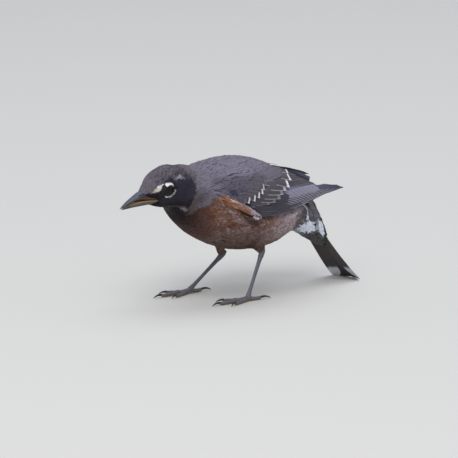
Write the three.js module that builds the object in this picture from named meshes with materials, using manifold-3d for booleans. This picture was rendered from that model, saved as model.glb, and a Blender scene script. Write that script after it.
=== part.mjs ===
// American robin, life size: bent forward to feed, bill a little open, tail propped on the ground.
// Millimetres, +Z up. The bird faces -Y and its left side is +X. The origin is on the ground,
// below the middle of the bird's bounding box.
import * as THREE from "three";
import { mergeVertices } from "three/addons/utils/BufferGeometryUtils.js";
import Module from "manifold-3d";

const wasm = await Module();
wasm.setup();

// ---- driving dimensions -----------------------------------------------------------------------

const GAP = 0.3; // clearance between neighbouring pieces
const HALF_GAP = GAP / 2;

const HEAD_AT = [2.6, -62.2, 80.6]; // midway between the two eyes
const HEAD_TURN = 3; // degrees, towards the bird's left
const HEAD_NOD = 11; // degrees, bill down
const HEAD_TILT = 5; // degrees, left side down

const EYE_RADIUS = 4.6;
const EYE_SIDE = 7.4; // each eye's centre, out from the head's middle plane

const BILL_TIP = 34.6; // bill tip, forward of the eyes
const BILL_OPEN = 5; // degrees between the two mandibles

const TAIL_DROOP = 59; // degrees below level at the root
const TAIL_FLATTEN = 16; // degrees less than that at the tip, where it meets the ground
const TAIL_ROLL = 12; // degrees, left edge up
const TAIL_TURN = 1.5; // degrees, tip towards the bird's left
const TAIL_ROOT = [0.4, 44, 73.4];
const TAIL_LENGTH = 93;
const TAIL_HALF_ROOT = 8.5; // half its width at the root
const TAIL_HALF_TIP = 14.5; // half its width near the tip
const TAIL_THICK = 2.4;
const TAIL_FEATHERS = 12;

const TARSUS = 32.5;
const TOE_RADIUS = 1.25;
const TOE_HEIGHT = 0.95; // a toe's centreline, above the ground
const FOOT_HEIGHT = 2.4; // where the toes meet, above the ground

// Each ankle, and how far its foot stands out to the side of it.
const LEGS = {
  left: { ankle: [16, 10.7, 28.3], splay: 8.5 },
  right: { ankle: [-16, 0.4, 22.6], splay: 2 },
};

// Toe lengths without the claw, claw lengths, and where each toe points: 0 is straight ahead.
const TOES = [
  { name: "inner", length: 15, claw: 5.5, heading: 24 },
  { name: "middle", length: 22, claw: 6.5, heading: 0 },
  { name: "outer", length: 16, claw: 5.5, heading: -24 },
  { name: "hind", length: 11, claw: 8, heading: 178 },
];

// ---- geometry to solids and back --------------------------------------------------------------

const radians = THREE.MathUtils.degToRad;
const vector = (p) => new THREE.Vector3(...p);

// The same geometry with its faces turned round.
function flipped(geometry) {
  const index = geometry.index.array;
  for (let i = 0; i < index.length; i += 3) {
    [index[i + 1], index[i + 2]] = [index[i + 2], index[i + 1]];
  }
  return geometry;
}

// A closed three.js geometry as a manifold-3d solid, with its faces pointing out.
function solid(geometry) {
  const bare = geometry.clone();
  bare.deleteAttribute("normal");
  bare.deleteAttribute("uv");
  const merged = mergeVertices(bare, 1e-3);
  const made = new wasm.Manifold(
    new wasm.Mesh({
      numProp: 3,
      vertProperties: merged.attributes.position.array,
      triVerts: new Uint32Array(merged.index.array),
    }),
  );
  return made.volume() < 0 ? solid(flipped(merged)) : made;
}

// A solid as a geometry. Slivers that a cut has left beside the largest body are dropped.
function geometryOf(cut) {
  const bodies = cut.decompose().sort((a, b) => b.volume() - a.volume());
  const mesh = bodies[0].getMesh();
  const count = mesh.vertProperties.length / mesh.numProp;
  const places = new Float32Array(count * 3);
  for (let i = 0; i < count; i++) {
    places.set(mesh.vertProperties.subarray(i * mesh.numProp, i * mesh.numProp + 3), i * 3);
  }
  const geometry = new THREE.BufferGeometry();
  geometry.setAttribute("position", new THREE.BufferAttribute(places, 3));
  geometry.setIndex(new THREE.BufferAttribute(mesh.triVerts, 1));
  geometry.computeVertexNormals();
  return geometry;
}

// A curve through points, read at a share from 0 to 1 that counts control points, not length.
function through(points) {
  return new THREE.CatmullRomCurve3(points.map(vector), false, "catmullrom", 0.5);
}

// A body lofted along a line of stations, made by moving the points of a sphere. A station is
// { at, up, down, side }: its centre, and how far the surface lies above, below and beside it.
// The first and last stations are the poles. grow swells the whole body.
function loft(stations, around, along, grow = 0, above = [0, 0, 1]) {
  const line = through(stations.map((s) => s.at));
  const reach = through(stations.map((s) => [s.up || 0, s.down || 0, s.side || 0]));
  const geometry = new THREE.SphereGeometry(1, around, along);
  const places = geometry.attributes.position;
  const p = new THREE.Vector3();
  for (let i = 0; i < places.count; i++) {
    p.fromBufferAttribute(places, i);
    const t = Math.acos(THREE.MathUtils.clamp(p.y, -1, 1)) / Math.PI;
    const ring = Math.hypot(p.x, p.z);
    const forward = line.getTangent(t);
    const side = forward.clone().cross(vector(above)).normalize();
    const up = side.clone().cross(forward).normalize();
    if (ring < 1e-6) {
      p.copy(line.getPoint(t)).addScaledVector(forward, t > 0.5 ? grow : -grow);
    } else {
      const r = reach.getPoint(t);
      const tall = Math.max(p.z > 0 ? r.x : r.y, 0) + grow;
      const wide = Math.max(r.z, 0) + grow;
      const across = (p.x / ring) * wide;
      const height = (p.z / ring) * tall;
      p.copy(line.getPoint(t)).addScaledVector(side, across).addScaledVector(up, height);
    }
    places.setXYZ(i, p.x, p.y, p.z);
  }
  return solid(geometry);
}

// A curved plate, made by moving the points of a box. place(u, v) gives a point of its outer
// face and the way out of it, and thick(u, v) how far in its other face lies.
function plate(place, thick, lengthways, crossways, grow = 0) {
  const geometry = new THREE.BoxGeometry(1, 1, 1, lengthways, crossways, 1);
  const places = geometry.attributes.position;
  for (let i = 0; i < places.count; i++) {
    const u = places.getX(i) + 0.5;
    const v = places.getY(i) + 0.5;
    const { at, out } = place(u, v);
    at.addScaledVector(out, places.getZ(i) > 0 ? grow : -grow - thick(u, v));
    places.setXYZ(i, at.x, at.y, at.z);
  }
  return solid(geometry);
}

// Everything on one side of a plane, as a large box.
function halfSpace(point, normal) {
  const size = 400;
  const way = normal.clone().normalize();
  const turn = new THREE.Quaternion().setFromUnitVectors(new THREE.Vector3(0, 0, 1), way);
  const centre = point.clone().addScaledVector(way, size / 2);
  const geometry = new THREE.BoxGeometry(size, size, size);
  return solid(geometry.applyQuaternion(turn).translate(centre.x, centre.y, centre.z));
}

const aboveGround = halfSpace(new THREE.Vector3(0, 0, 0), new THREE.Vector3(0, 0, 1));

// ---- head -------------------------------------------------------------------------------------

const turned = (x, y, z, degrees) =>
  new THREE.Quaternion().setFromAxisAngle(new THREE.Vector3(x, y, z), radians(degrees));
const headPose = turned(0, 0, 1, HEAD_TURN)
  .multiply(turned(1, 0, 0, HEAD_NOD))
  .multiply(turned(0, 1, 0, HEAD_TILT));

// A point given as millimetres left, ahead and up from between the eyes, as the head is held.
function onHead(left, ahead, up) {
  return new THREE.Vector3(left, -ahead, up).applyQuaternion(headPose).add(vector(HEAD_AT));
}

// Stations of a piece of the head, from rows of [ahead, centre height, up, down, side].
function headStations(rows) {
  return rows.map(([ahead, height, up, down, side]) => ({
    at: onHead(0, ahead, height).toArray(),
    up,
    down,
    side,
  }));
}

const HEAD_ROWS = [
  [18.4, -2.6, 0, 0, 0],
  [17.2, -2.5, 4.0, 2.6, 3.4],
  [13.6, -2.5, 7.6, 4.8, 5.6],
  [9, -2.4, 10.8, 8.2, 7.8],
  [2.5, -2.2, 12.9, 11.8, 9.6],
  [-4, -2, 13.3, 13.6, 11.3],
  [-11, -2.4, 13.0, 14, 12.3],
  [-18, -3.6, 13.4, 14.2, 12.6],
  [-25, -5.6, 11.2, 12.4, 11],
  [-31, -7, 0, 0, 0],
];

// ---- neck and trunk ---------------------------------------------------------------------------

const BODY_STATIONS = [
  { at: [2.2, -60, 78] },
  { at: [1.8, -56.5, 77.5], up: 9, down: 7.5, side: 9 },
  { at: [1.2, -49, 75.5], up: 15.6, down: 15, side: 14.5 },
  { at: [0.6, -39, 72], up: 20.8, down: 21.0, side: 20 },
  { at: [0, -26, 68], up: 26.6, down: 27.0, side: 25.2 },
  { at: [0, -10, 65], up: 30.4, down: 31.8, side: 28.8 },
  { at: [0, 7, 63], up: 30, down: 33, side: 29.2 },
  { at: [0, 24, 61.5], up: 25.4, down: 30.6, side: 26 },
  { at: [0, 38, 61], up: 16.5, down: 26, side: 20.5 },
  { at: [0, 50, 58.5], up: 9, down: 20.5, side: 14 },
  { at: [0, 57, 55] },
];

// ---- tail -------------------------------------------------------------------------------------

// The tail's middle line: straight from the root, then flattening towards the ground.
function tailLine(distance) {
  const steps = 24;
  const at = vector(TAIL_ROOT);
  const way = new THREE.Vector3();
  for (let i = 0; i < steps; i++) {
    const share = Math.max(0, (distance * (i + 0.5)) / steps / TAIL_LENGTH);
    const droop = radians(TAIL_DROOP - TAIL_FLATTEN * share ** 3);
    way.set(Math.cos(droop) * Math.tan(radians(TAIL_TURN)), Math.cos(droop), -Math.sin(droop));
    way.normalize();
    at.addScaledVector(way, distance / steps);
  }
  const roll = turned(way.x, way.y, way.z, 1).setFromAxisAngle(way, radians(-TAIL_ROLL));
  const left = new THREE.Vector3(way.y, -way.x, 0).normalize().applyQuaternion(roll);
  const out = left.clone().cross(way);
  return { at, way, out, left };
}

// A slightly fanned tail, highest along its middle, its end made by the tips of its feathers.
function tail() {
  const first = 4; // its own start along the tail line, inside the rump
  const place = (u, v) => {
    const across = 2 * v - 1;
    const tip = Math.abs(Math.sin((v * TAIL_FEATHERS * Math.PI) / 2 + Math.PI / 4));
    const end = TAIL_LENGTH - 3.5 * across ** 4 - 1.6 * (1 - across ** 2) ** 2 - 1.2 * (1 - tip);
    const { at, out, left } = tailLine(first + u * (end - first));
    const half = TAIL_HALF_ROOT + (TAIL_HALF_TIP - TAIL_HALF_ROOT) * u ** 0.8;
    at.addScaledVector(left, across * half).addScaledVector(out, -2.4 * across ** 2);
    return { at, out };
  };
  const thick = (u) => TAIL_THICK - 1.2 * u;
  return plate(place, thick, 7, TAIL_FEATHERS * 2);
}

// The rump, and past it the feathered root of the tail with the coverts above and below it:
// [along the tail, up, down, side].
const RUMP_STATIONS = [
  { at: [0, 27, 62] },
  { at: [0, 31, 62], up: 10, down: 12, side: 11 },
];
const TAIL_ROOT_ROWS = [
  [0, 1.6, 20, 13],
  [11, 2.6, 22, 14],
  [21, 3.0, 20.5, 13.5],
  [32, 3.0, 16, 12],
  [43, 2.4, 10, 10],
  [52, 1.9, 5, 7.5],
  [59, 0, 0, 0],
];

function tailRoot(grow) {
  const stations = TAIL_ROOT_ROWS.map(([along, up, down, side]) => {
    const { at, out } = tailLine(along);
    return { at: at.addScaledVector(out, -0.6).toArray(), up, down, side };
  });
  return loft(RUMP_STATIONS.concat(stations), 16, 12, grow, [-0.12, 0, 1]);
}

// ---- wings ------------------------------------------------------------------------------------

// Cross-sections of the folded left wing from its bend to its tip, where a section is the height
// and half-width of its lower edge, its widest line and its upper edge:
// [y, lower x, lower z, middle x, middle z, upper x, upper z].
const WING_SECTIONS = [
  [-36, 24, 74.5, 25.6, 77.5, 22, 81.5],
  [-24, 28.8, 69.5, 30.2, 77, 22.5, 87.2],
  [-9, 31.4, 61, 32, 75, 20.8, 90.4],
  [6, 31, 58.4, 31.6, 73.5, 17.2, 89.8],
  [20, 28, 57.6, 28.8, 72, 12.6, 86.8],
  [34, 22.8, 57.6, 23.6, 70, 8, 82],
  [46, 17.6, 58, 18, 68, 6, 76.4],
  [57, 13.6, 59, 13.8, 66, 5.6, 71],
  [69, 9.4, 60.6, 9.6, 64, 5.2, 66.8],
  [84.4, 5.8, 62.4, 5.9, 63.1, 5.4, 63.8],
];
const WING_THICK = 5; // over the body
const WING_TIP_THICK = 1.1;
const RIGHT_WING_LIFT = 14; // the right wing's inner feathers lie higher over the rump

function wing(sign, grow = 0) {
  const rows = WING_SECTIONS;
  const low = through(rows.map((r) => [r[1], r[0], r[2]]));
  const middle = through(rows.map((r) => [r[3], r[0], r[4]]));
  const high = through(rows.map((r) => [r[5], r[0], r[6]]));
  const reachOver = grow / 20; // how much further each way the edges go when it is swollen
  const surface = (u, v) => {
    const a = low.getPoint(u);
    const b = middle.getPoint(u);
    const c = high.getPoint(u);
    const at = a.multiplyScalar((2 * v - 1) * (v - 1));
    at.addScaledVector(b, 4 * v * (1 - v)).addScaledVector(c, v * (2 * v - 1));
    if (sign < 0) at.z += RIGHT_WING_LIFT * v * THREE.MathUtils.smoothstep(u, 0.4, 0.7) * (1 - u);
    return at;
  };
  const place = (u, v) => {
    const wide = v + (2 * v - 1) * reachOver;
    const long = THREE.MathUtils.clamp(u + (2 * u - 1) * reachOver, 0, 1);
    const at = surface(long, wide);
    const step = 0.01;
    const along = surface(Math.min(long + step, 1), wide).sub(surface(Math.max(long - step, 0), wide));
    const across = surface(long, wide + step).sub(surface(long, wide - step));
    const out = along.cross(across).normalize();
    if (out.x < 0) out.negate();
    at.x *= sign;
    out.x *= sign;
    return { at, out };
  };
  const thick = (u, v) => {
    const body = 1 - THREE.MathUtils.smoothstep(u, 0.45, 0.95);
    return WING_TIP_THICK + (WING_THICK - WING_TIP_THICK) * body * (0.5 + 0.5 * Math.sin(Math.PI * v));
  };
  return plate(place, thick, 18, 6, grow);
}

// The loose flank feathers that stand out over the lower front edge of the folded wing:
// [x, y, z, up, down, side].
const FLANK_ROWS = [
  [20, -37, 72.5, 0, 0, 0],
  [25, -31, 73, 2.6, 3.4, 3],
  [29.3, -21, 68.3, 3.4, 4, 3.8],
  [31.8, -11, 62.2, 2.7, 3.6, 3.2],
  [32.6, -4, 58.4, 1.5, 2.4, 1.9],
  [32.6, 1, 56.2, 0, 0, 0],
];

function flank(sign, grow) {
  const stations = FLANK_ROWS.map(([x, y, z, up, down, side]) => ({
    at: [sign * x, y, z],
    up,
    down,
    side,
  }));
  return loft(stations, 8, 9, grow);
}

// ---- eyes and bill ----------------------------------------------------------------------------

function eye(sign, grow = 0) {
  const centre = onHead(sign * EYE_SIDE, 0, 0);
  return solid(
    new THREE.SphereGeometry(EYE_RADIUS + grow, 14, 10).translate(centre.x, centre.y, centre.z),
  );
}

// Rows of [ahead, centre height, up, down, side], as for the head.
const UPPER_BILL_ROWS = [
  [7, -3.2, 0, 0, 0],
  [8, -3.2, 2.0, 1.4, 4],
  [14, -2.5, 3.5, 1.2, 4.1],
  [19, -2.1, 3.2, 0.9, 3.2],
  [24, -1.8, 2.5, 0.8, 2.5],
  [28.6, -1.8, 1.7, 0.8, 1.8],
  [32.6, -2.3, 0.9, 0.7, 1.0],
  [BILL_TIP, -3.1, 0, 0, 0],
];

const LOWER_BILL_ROWS = [
  [7, -5.2, 0, 0, 0],
  [8, -5.2, 0.8, 1.8, 3.6],
  [14, -4.7, 0.9, 2.5, 3.5],
  [19, -4.3, 0.7, 2.3, 2.8],
  [24, -3.9, 0.6, 1.9, 2.1],
  [28.4, -3.6, 0.5, 1.3, 1.4],
  [31.6, -3.5, 0.4, 0.7, 0.8],
  [33.2, -3.5, 0, 0, 0],
];

const MOUTH_CORNER = { ahead: 5, height: -4.7 };

// The lower mandible's rows, swung down about the corner of the mouth.
function openedRows() {
  const cos = Math.cos(radians(BILL_OPEN));
  const sin = Math.sin(radians(BILL_OPEN));
  return LOWER_BILL_ROWS.map(([ahead, height, ...reach]) => {
    const out = ahead - MOUTH_CORNER.ahead;
    const rise = height - MOUTH_CORNER.height;
    const swung = MOUTH_CORNER.ahead + out * cos + rise * sin;
    return [swung, MOUTH_CORNER.height - out * sin + rise * cos, ...reach];
  });
}

const upperBill = (grow) => loft(headStations(UPPER_BILL_ROWS), 12, 12, grow);
const lowerBill = (grow) => loft(headStations(openedRows()), 12, 10, grow);

// ---- legs and feet ----------------------------------------------------------------------------

function leg(side) {
  const sign = side === "left" ? 1 : -1;
  const ankle = vector(LEGS[side].ankle);
  const { splay } = LEGS[side];
  const drop = ankle.z - FOOT_HEIGHT;
  const lean = Math.sqrt(TARSUS ** 2 - drop ** 2 - splay ** 2);
  const foot = new THREE.Vector3(ankle.x + sign * splay, ankle.y - lean, FOOT_HEIGHT);
  const knee = ankle.clone().add(new THREE.Vector3(-2 * sign, -4, 20));
  const between = (a, b, t) => a.clone().lerp(b, t).toArray();
  const round = (r, flat = 1) => ({ up: r, down: r, side: r * flat });
  const thigh = loft(
    [
      { at: between(knee, ankle, -0.1) },
      { at: between(knee, ankle, 0), ...round(10, 0.8) },
      { at: between(knee, ankle, 0.35), ...round(7.5, 0.8) },
      { at: between(knee, ankle, 0.6), ...round(4.4, 0.85) },
      { at: between(knee, ankle, 0.85), ...round(2.7, 0.9) },
      { at: between(knee, ankle, 0.98), ...round(2.1, 0.9) },
      { at: between(knee, ankle, 1.02) },
    ],
    12,
    8,
    0,
    [0, 1, 0.1],
  );
  const shank = (grow) =>
    loft(
      [
        { at: between(ankle, foot, -0.05) },
        { at: between(ankle, foot, 0), ...round(1.9, 0.85) },
        { at: between(ankle, foot, 0.12), ...round(1.6, 0.8) },
        { at: between(ankle, foot, 0.5), ...round(1.3, 0.8) },
        { at: between(ankle, foot, 0.85), ...round(1.4, 0.85) },
        { at: between(ankle, foot, 0.97), ...round(1.7, 0.95) },
        { at: between(ankle, foot, 1.04) },
      ],
      8,
      10,
      grow,
      [0, 1, 0.2],
    );
  return { side, sign, foot, thigh, shank };
}

// One toe lies flat from the foot, with a swelling at each joint, and its claw curves down.
function toe(foot, sign, spec) {
  const heading = radians(spec.heading * sign);
  const way = new THREE.Vector3(Math.sin(heading), -Math.cos(heading), 0);
  const at = (d, z) => foot.clone().addScaledVector(way, d).setZ(z).toArray();
  const round = (r, flat = 1) => ({ up: r, down: r, side: r * flat });
  const end = spec.length;
  const pad = loft(
    [
      { at: at(-2.4, FOOT_HEIGHT * 0.8) },
      { at: at(-1.4, FOOT_HEIGHT * 0.8), ...round(TOE_RADIUS * 1.2) },
      { at: at(end * 0.2, TOE_HEIGHT + 0.4), ...round(TOE_RADIUS * 1.15) },
      { at: at(end * 0.42, TOE_HEIGHT), ...round(TOE_RADIUS * 0.98) },
      { at: at(end * 0.57, TOE_HEIGHT), ...round(TOE_RADIUS * 1.12) },
      { at: at(end * 0.78, TOE_HEIGHT), ...round(TOE_RADIUS * 0.92) },
      { at: at(end * 0.94, TOE_HEIGHT), ...round(TOE_RADIUS * 0.98) },
      { at: at(end, TOE_HEIGHT + 0.1) },
    ],
    6,
    8,
  );
  const claw = (grow) =>
    loft(
      [
        { at: at(end - 1.6, TOE_HEIGHT + 0.3) },
        { at: at(end - 1.2, TOE_HEIGHT + 0.4), ...round(0.75, 0.8) },
        { at: at(end + spec.claw * 0.25, TOE_HEIGHT + 1.1), ...round(0.75, 0.7) },
        { at: at(end + spec.claw * 0.6, TOE_HEIGHT + 0.8), ...round(0.5, 0.75) },
        { at: at(end + spec.claw * 0.85, TOE_HEIGHT), ...round(0.3) },
        { at: at(end + spec.claw, 0.4) },
      ],
      6,
      6,
      grow,
    );
  return { name: spec.name, pad, claw };
}

// ---- assembly ---------------------------------------------------------------------------------

const FINISH = {
  slate: [0x4a4650, 0.85],
  brown: [0x3f3a40, 0.8],
  rufous: [0x7a4630, 0.85],
  horn: [0x4b4a58, 0.35],
  yellow_horn: [0x8a6a3a, 0.4],
  eye: [0x0c0a0a, 0.05],
  scale: [0x3e3a40, 0.5],
  claw: [0x1c1a1c, 0.35],
};

const robin = new THREE.Group();

function add(name, body, finish) {
  const [color, roughness] = FINISH[finish];
  const material = new THREE.MeshStandardMaterial({ color, roughness, metalness: 0 });
  const mesh = new THREE.Mesh(geometryOf(body), material);
  mesh.name = name;
  robin.add(mesh);
}

// All the flesh and short plumage as one solid, before it is cut into its parts.
function flesh(grow = 0) {
  const head = loft(headStations(HEAD_ROWS), 20, 16, grow);
  return head.add(loft(BODY_STATIONS, 26, 19, grow)).add(tailRoot(grow));
}

const legs = ["left", "right"].map(leg);
const flanks = (grow) => flank(1, grow).add(flank(-1, grow));

let whole = flesh().subtract(wing(1, GAP)).subtract(wing(-1, GAP)).add(flanks(0));
whole = whole.subtract(eye(1, GAP)).subtract(eye(-1, GAP));
for (const part of legs) whole = whole.subtract(part.shank(GAP));

// The planes that part the head from the neck and the neck from the trunk.
const nape = { at: onHead(0, -15, 0), way: new THREE.Vector3(0, -1, 0.15) };
const shoulder = { at: new THREE.Vector3(0, -38, 70), way: new THREE.Vector3(0, -1, -0.2) };

// The side of a cut ahead of it (1) or behind it (-1), less half the gap.
function sideOf(cut, which) {
  const way = cut.way.clone().normalize().multiplyScalar(which);
  return halfSpace(cut.at.clone().addScaledVector(way, HALF_GAP), way);
}

add("head", whole.intersect(sideOf(nape, 1)), "slate");
add("neck", whole.intersect(sideOf(nape, -1)).intersect(sideOf(shoulder, 1)), "slate");
add("trunk", whole.intersect(sideOf(shoulder, -1)), "rufous");

add("eye_left", eye(1), "eye");
add("eye_right", eye(-1), "eye");

const swollen = flesh(GAP);
add("bill_upper", upperBill(0).subtract(swollen), "horn");
add("bill_lower", lowerBill(0).subtract(swollen).subtract(upperBill(GAP)), "yellow_horn");

const wingRoom = sideOf(shoulder, -1).subtract(flanks(GAP));
add("wing_left", wing(1).intersect(wingRoom), "brown");
add("wing_right", wing(-1).intersect(wingRoom), "brown");

const wingsSwollen = wing(1, GAP).add(wing(-1, GAP));
add("tail", tail().subtract(swollen).subtract(wingsSwollen).intersect(aboveGround), "brown");

for (const part of legs) {
  const shankRoom = part.shank(GAP);
  const toes = TOES.map((spec) => toe(part.foot, part.sign, spec));
  let pads = toes.map((t) => t.pad).reduce((a, b) => a.add(b));
  for (const t of toes) pads = pads.subtract(t.claw(GAP));
  add(`thigh_${part.side}`, part.thigh.subtract(swollen).subtract(shankRoom), "slate");
  add(`tarsus_${part.side}`, part.shank(0), "scale");
  add(`foot_${part.side}`, pads.subtract(shankRoom).intersect(aboveGround), "scale");
  for (const t of toes) {
    add(`claw_${t.name}_${part.side}`, t.claw(0).intersect(aboveGround), "claw");
  }
}

// Centres the bird over the origin, by its box.
const box = new THREE.Box3().setFromObject(robin);
const middle = box.getCenter(new THREE.Vector3());
for (const mesh of robin.children) mesh.geometry.translate(-middle.x, -middle.y, 0);

export default robin;
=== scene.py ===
"""American robin, life size, bent forward to feed.

One skin runs under the whole bird, and every feather on it is a thin closed vane of its own.
Eyes, lids, bill, legs and claws are separate pieces. Arrays hold millimetres in the part's own
frame, with the bird facing -Y, its left side +X and the ground at zero. Meshes hold metres.
"""
import math

import bmesh
import bpy
import numpy as np
from mathutils import Matrix, Vector
from mathutils.bvhtree import BVHTree
from mathutils.kdtree import KDTree


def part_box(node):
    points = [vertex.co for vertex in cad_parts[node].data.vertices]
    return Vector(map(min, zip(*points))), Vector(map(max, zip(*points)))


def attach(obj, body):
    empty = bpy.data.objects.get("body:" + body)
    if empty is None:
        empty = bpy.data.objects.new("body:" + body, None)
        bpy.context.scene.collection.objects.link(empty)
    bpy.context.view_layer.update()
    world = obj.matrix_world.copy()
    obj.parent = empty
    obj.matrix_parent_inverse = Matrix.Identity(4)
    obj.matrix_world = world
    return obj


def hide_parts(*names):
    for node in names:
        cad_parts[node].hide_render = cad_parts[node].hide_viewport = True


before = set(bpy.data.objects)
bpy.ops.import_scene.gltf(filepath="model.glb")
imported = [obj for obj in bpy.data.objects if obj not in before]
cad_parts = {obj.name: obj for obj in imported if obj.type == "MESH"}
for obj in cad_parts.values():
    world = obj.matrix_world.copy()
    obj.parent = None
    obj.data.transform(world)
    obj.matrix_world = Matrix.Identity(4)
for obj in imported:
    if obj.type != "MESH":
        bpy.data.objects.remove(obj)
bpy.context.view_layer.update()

MM = 0.001
BODY = "root"
SIDES = (("left", 1), ("right", -1))
chance = np.random.default_rng(2211)

# ---- small tools ----


def unit(vectors):
    return vectors / np.maximum(np.linalg.norm(vectors, axis=-1, keepdims=True), 1e-9)


def dot(a, b):
    return np.sum(a * b, axis=-1)


def ramp(low, high, value):
    """0 below low, 1 above high, and smooth between. high may be the smaller one."""
    share = np.clip((value - low) / (high - low), 0, 1)
    return share * share * (3 - 2 * share)


def blend(a, b, share):
    share = np.asarray(share)
    if np.ndim(a) > share.ndim or np.ndim(b) > share.ndim:
        share = share[..., None]
    return a + (b - a) * share


def in_turn(value, *covers):
    """Blends the value with each cover in turn. A cover is another value and its share."""
    for over, share in covers:
        value = blend(value, over, share)
    return value


def between(a, b, share):
    """A colour for each share, from the colour a at 0 to the colour b at 1."""
    return a + (b - a) * np.asarray(share)[..., None]


def paint(red, green, blue):
    """A colour given as 0 to 255, as light."""
    c = np.array([red, green, blue]) / 255
    return np.where(c <= 0.04045, c / 12.92, ((c + 0.055) / 1.055) ** 2.4)


def ripple(points, size, turn=0.0):
    """A soft unevenness from -1 to 1, about size millimetres from crest to crest."""
    p = np.asarray(points) * (2 * math.pi / size)
    x, y, z = p[..., 0], p[..., 1], p[..., 2]
    a = np.sin(x * 1.07 + 1.9 * np.sin(y * 0.61 + turn) + z * 0.43)
    b = np.sin(y * 0.93 - 1.7 * np.sin(z * 0.71 + 2.0 + turn) + x * 0.37)
    c = np.sin(z * 1.11 + 1.5 * np.sin(x * 0.67 + 4.0 - turn) - y * 0.29)
    return (a + b + c) / 3


def curve(points, shares):
    """Points along a smooth line through the given points; shares count control points."""
    p = np.array(points, float)
    p = np.concatenate([[2 * p[0] - p[1]], p, [2 * p[-1] - p[-2]]])
    spans = len(p) - 3
    at = np.clip(np.asarray(shares, float), 0, 1) * spans
    i = np.minimum(at.astype(int), spans - 1)
    t = (at - i)[..., None]
    a, b, c, d = p[i], p[i + 1], p[i + 2], p[i + 3]
    bend, twist = 2 * a - 5 * b + 4 * c - d, 3 * b - a - 3 * c + d
    return 0.5 * (2 * b + (c - a) * t + bend * t**2 + twist * t**3)


def away_from(points, line):
    """Distance from each 2-D point to a broken line, and how far along that line, 0 to 1."""
    line = np.array(line, float)
    best = np.full(points.shape[:-1], 1e9)
    along = np.zeros(points.shape[:-1])
    for i in range(len(line) - 1):
        a, step = line[i], line[i + 1] - line[i]
        t = np.clip(((points - a) @ step) / (step @ step), 0, 1)
        far = np.linalg.norm(points - a - t[..., None] * step, axis=-1)
        nearer = far < best
        best = np.where(nearer, far, best)
        along = np.where(nearer, (i + t) / (len(line) - 1), along)
    return best, along


def within(points, outline):
    """How far each 2-D point lies inside a closed outline; negative outside."""
    ring = np.array(list(outline) + [outline[0]], float)
    far, _ = away_from(points, ring)
    x, y = points[..., 0], points[..., 1]
    inside = np.zeros(x.shape, bool)
    for (x0, y0), (x1, y1) in zip(ring[:-1], ring[1:]):
        if y0 != y1:
            inside ^= ((y0 > y) != (y1 > y)) & (x < (x1 - x0) * (y - y0) / (y1 - y0) + x0)
    return np.where(inside, far, -far)


# ---- the frame's own shapes ----


def places_of(mesh):
    """Where a mesh's vertices are, in millimetres."""
    places = np.empty(len(mesh.vertices) * 3, np.float32)
    mesh.vertices.foreach_get("co", places)
    return places.reshape(-1, 3).astype(float) / MM


def node_arrays(name):
    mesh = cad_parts[name].data
    mesh.calc_loop_triangles()
    corners = np.empty(len(mesh.loop_triangles) * 3, np.int32)
    mesh.loop_triangles.foreach_get("vertices", corners)
    return places_of(mesh), corners.reshape(-1, 3)


def middle_of(name):
    low, high = (np.array(v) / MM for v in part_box(name))
    return (low + high) / 2


def tree_of(places, corners):
    return BVHTree.FromPolygons(places.tolist(), corners.tolist())


# How the head is held: turned to its left, nodded down and tilted.
HEAD_TURN, HEAD_NOD, HEAD_TILT = 3, 11, 5
HEAD_AT = (middle_of("eye_left") + middle_of("eye_right")) / 2
head_pose = np.array(
    Matrix.Rotation(math.radians(HEAD_TURN), 3, "Z")
    @ Matrix.Rotation(math.radians(HEAD_NOD), 3, "X")
    @ Matrix.Rotation(math.radians(HEAD_TILT), 3, "Y")
)
HEAD_LEFT, HEAD_AHEAD, HEAD_UP = head_pose[:, 0], -head_pose[:, 1], head_pose[:, 2]


def on_head(ahead, up, left):
    ahead, up, left = (np.asarray(v, float)[..., None] for v in (ahead, up, left))
    return HEAD_AT + ahead * HEAD_AHEAD + up * HEAD_UP + left * HEAD_LEFT


def from_head(points):
    """How far ahead of the eyes, above them, and left of the head's middle plane."""
    q = points - HEAD_AT
    return q @ HEAD_AHEAD, q @ HEAD_UP, q @ HEAD_LEFT


# ---- meshes and finish ----


def put(name, data):
    """A new object in the scene."""
    obj = bpy.data.objects.new(name, data)
    bpy.context.scene.collection.objects.link(obj)
    return obj


def mesh_object(name, places, loops, sizes, smooth):
    """A mesh object from millimetre places, corner indices, and each face's size and shading."""
    mesh = bpy.data.meshes.new(name)
    mesh.vertices.add(len(places))
    mesh.vertices.foreach_set("co", (places * MM).astype(np.float32).ravel())
    mesh.loops.add(len(loops))
    mesh.loops.foreach_set("vertex_index", loops.astype(np.int32))
    mesh.polygons.add(len(sizes))
    starts = np.concatenate([[0], np.cumsum(sizes)[:-1]])
    mesh.polygons.foreach_set("loop_start", starts.astype(np.int32))
    mesh.update(calc_edges=True)
    mesh.validate()
    mesh.polygons.foreach_set("use_smooth", smooth)
    return put(name, mesh)


def set_colour(obj, name, colours):
    """Stores a colour at each vertex. The fourth channel, if given, is kept as alpha."""
    colours = np.asarray(colours, float).reshape(len(obj.data.vertices), -1)
    if colours.shape[1] == 3:
        colours = np.concatenate([colours, np.ones((len(colours), 1))], axis=1)
    layer = obj.data.color_attributes.new(name, "FLOAT_COLOR", "POINT")
    layer.data.foreach_set("color", colours.astype(np.float32).ravel())


def set_map(obj, name, spots):
    """Stores a flat place at each vertex as a UV map."""
    corner = np.empty(len(obj.data.loops), np.int32)
    obj.data.loops.foreach_get("vertex_index", corner)
    layer = obj.data.uv_layers.new(name=name)
    layer.data.foreach_set("uv", np.asarray(spots)[corner].astype(np.float32).ravel())


def finish_piece(obj, material, nodes=()):
    obj.data.materials.clear()
    obj.data.materials.append(material)
    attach(obj, BODY)
    if nodes:
        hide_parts(*nodes)
    return obj


# ---- bill sizes ----

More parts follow.
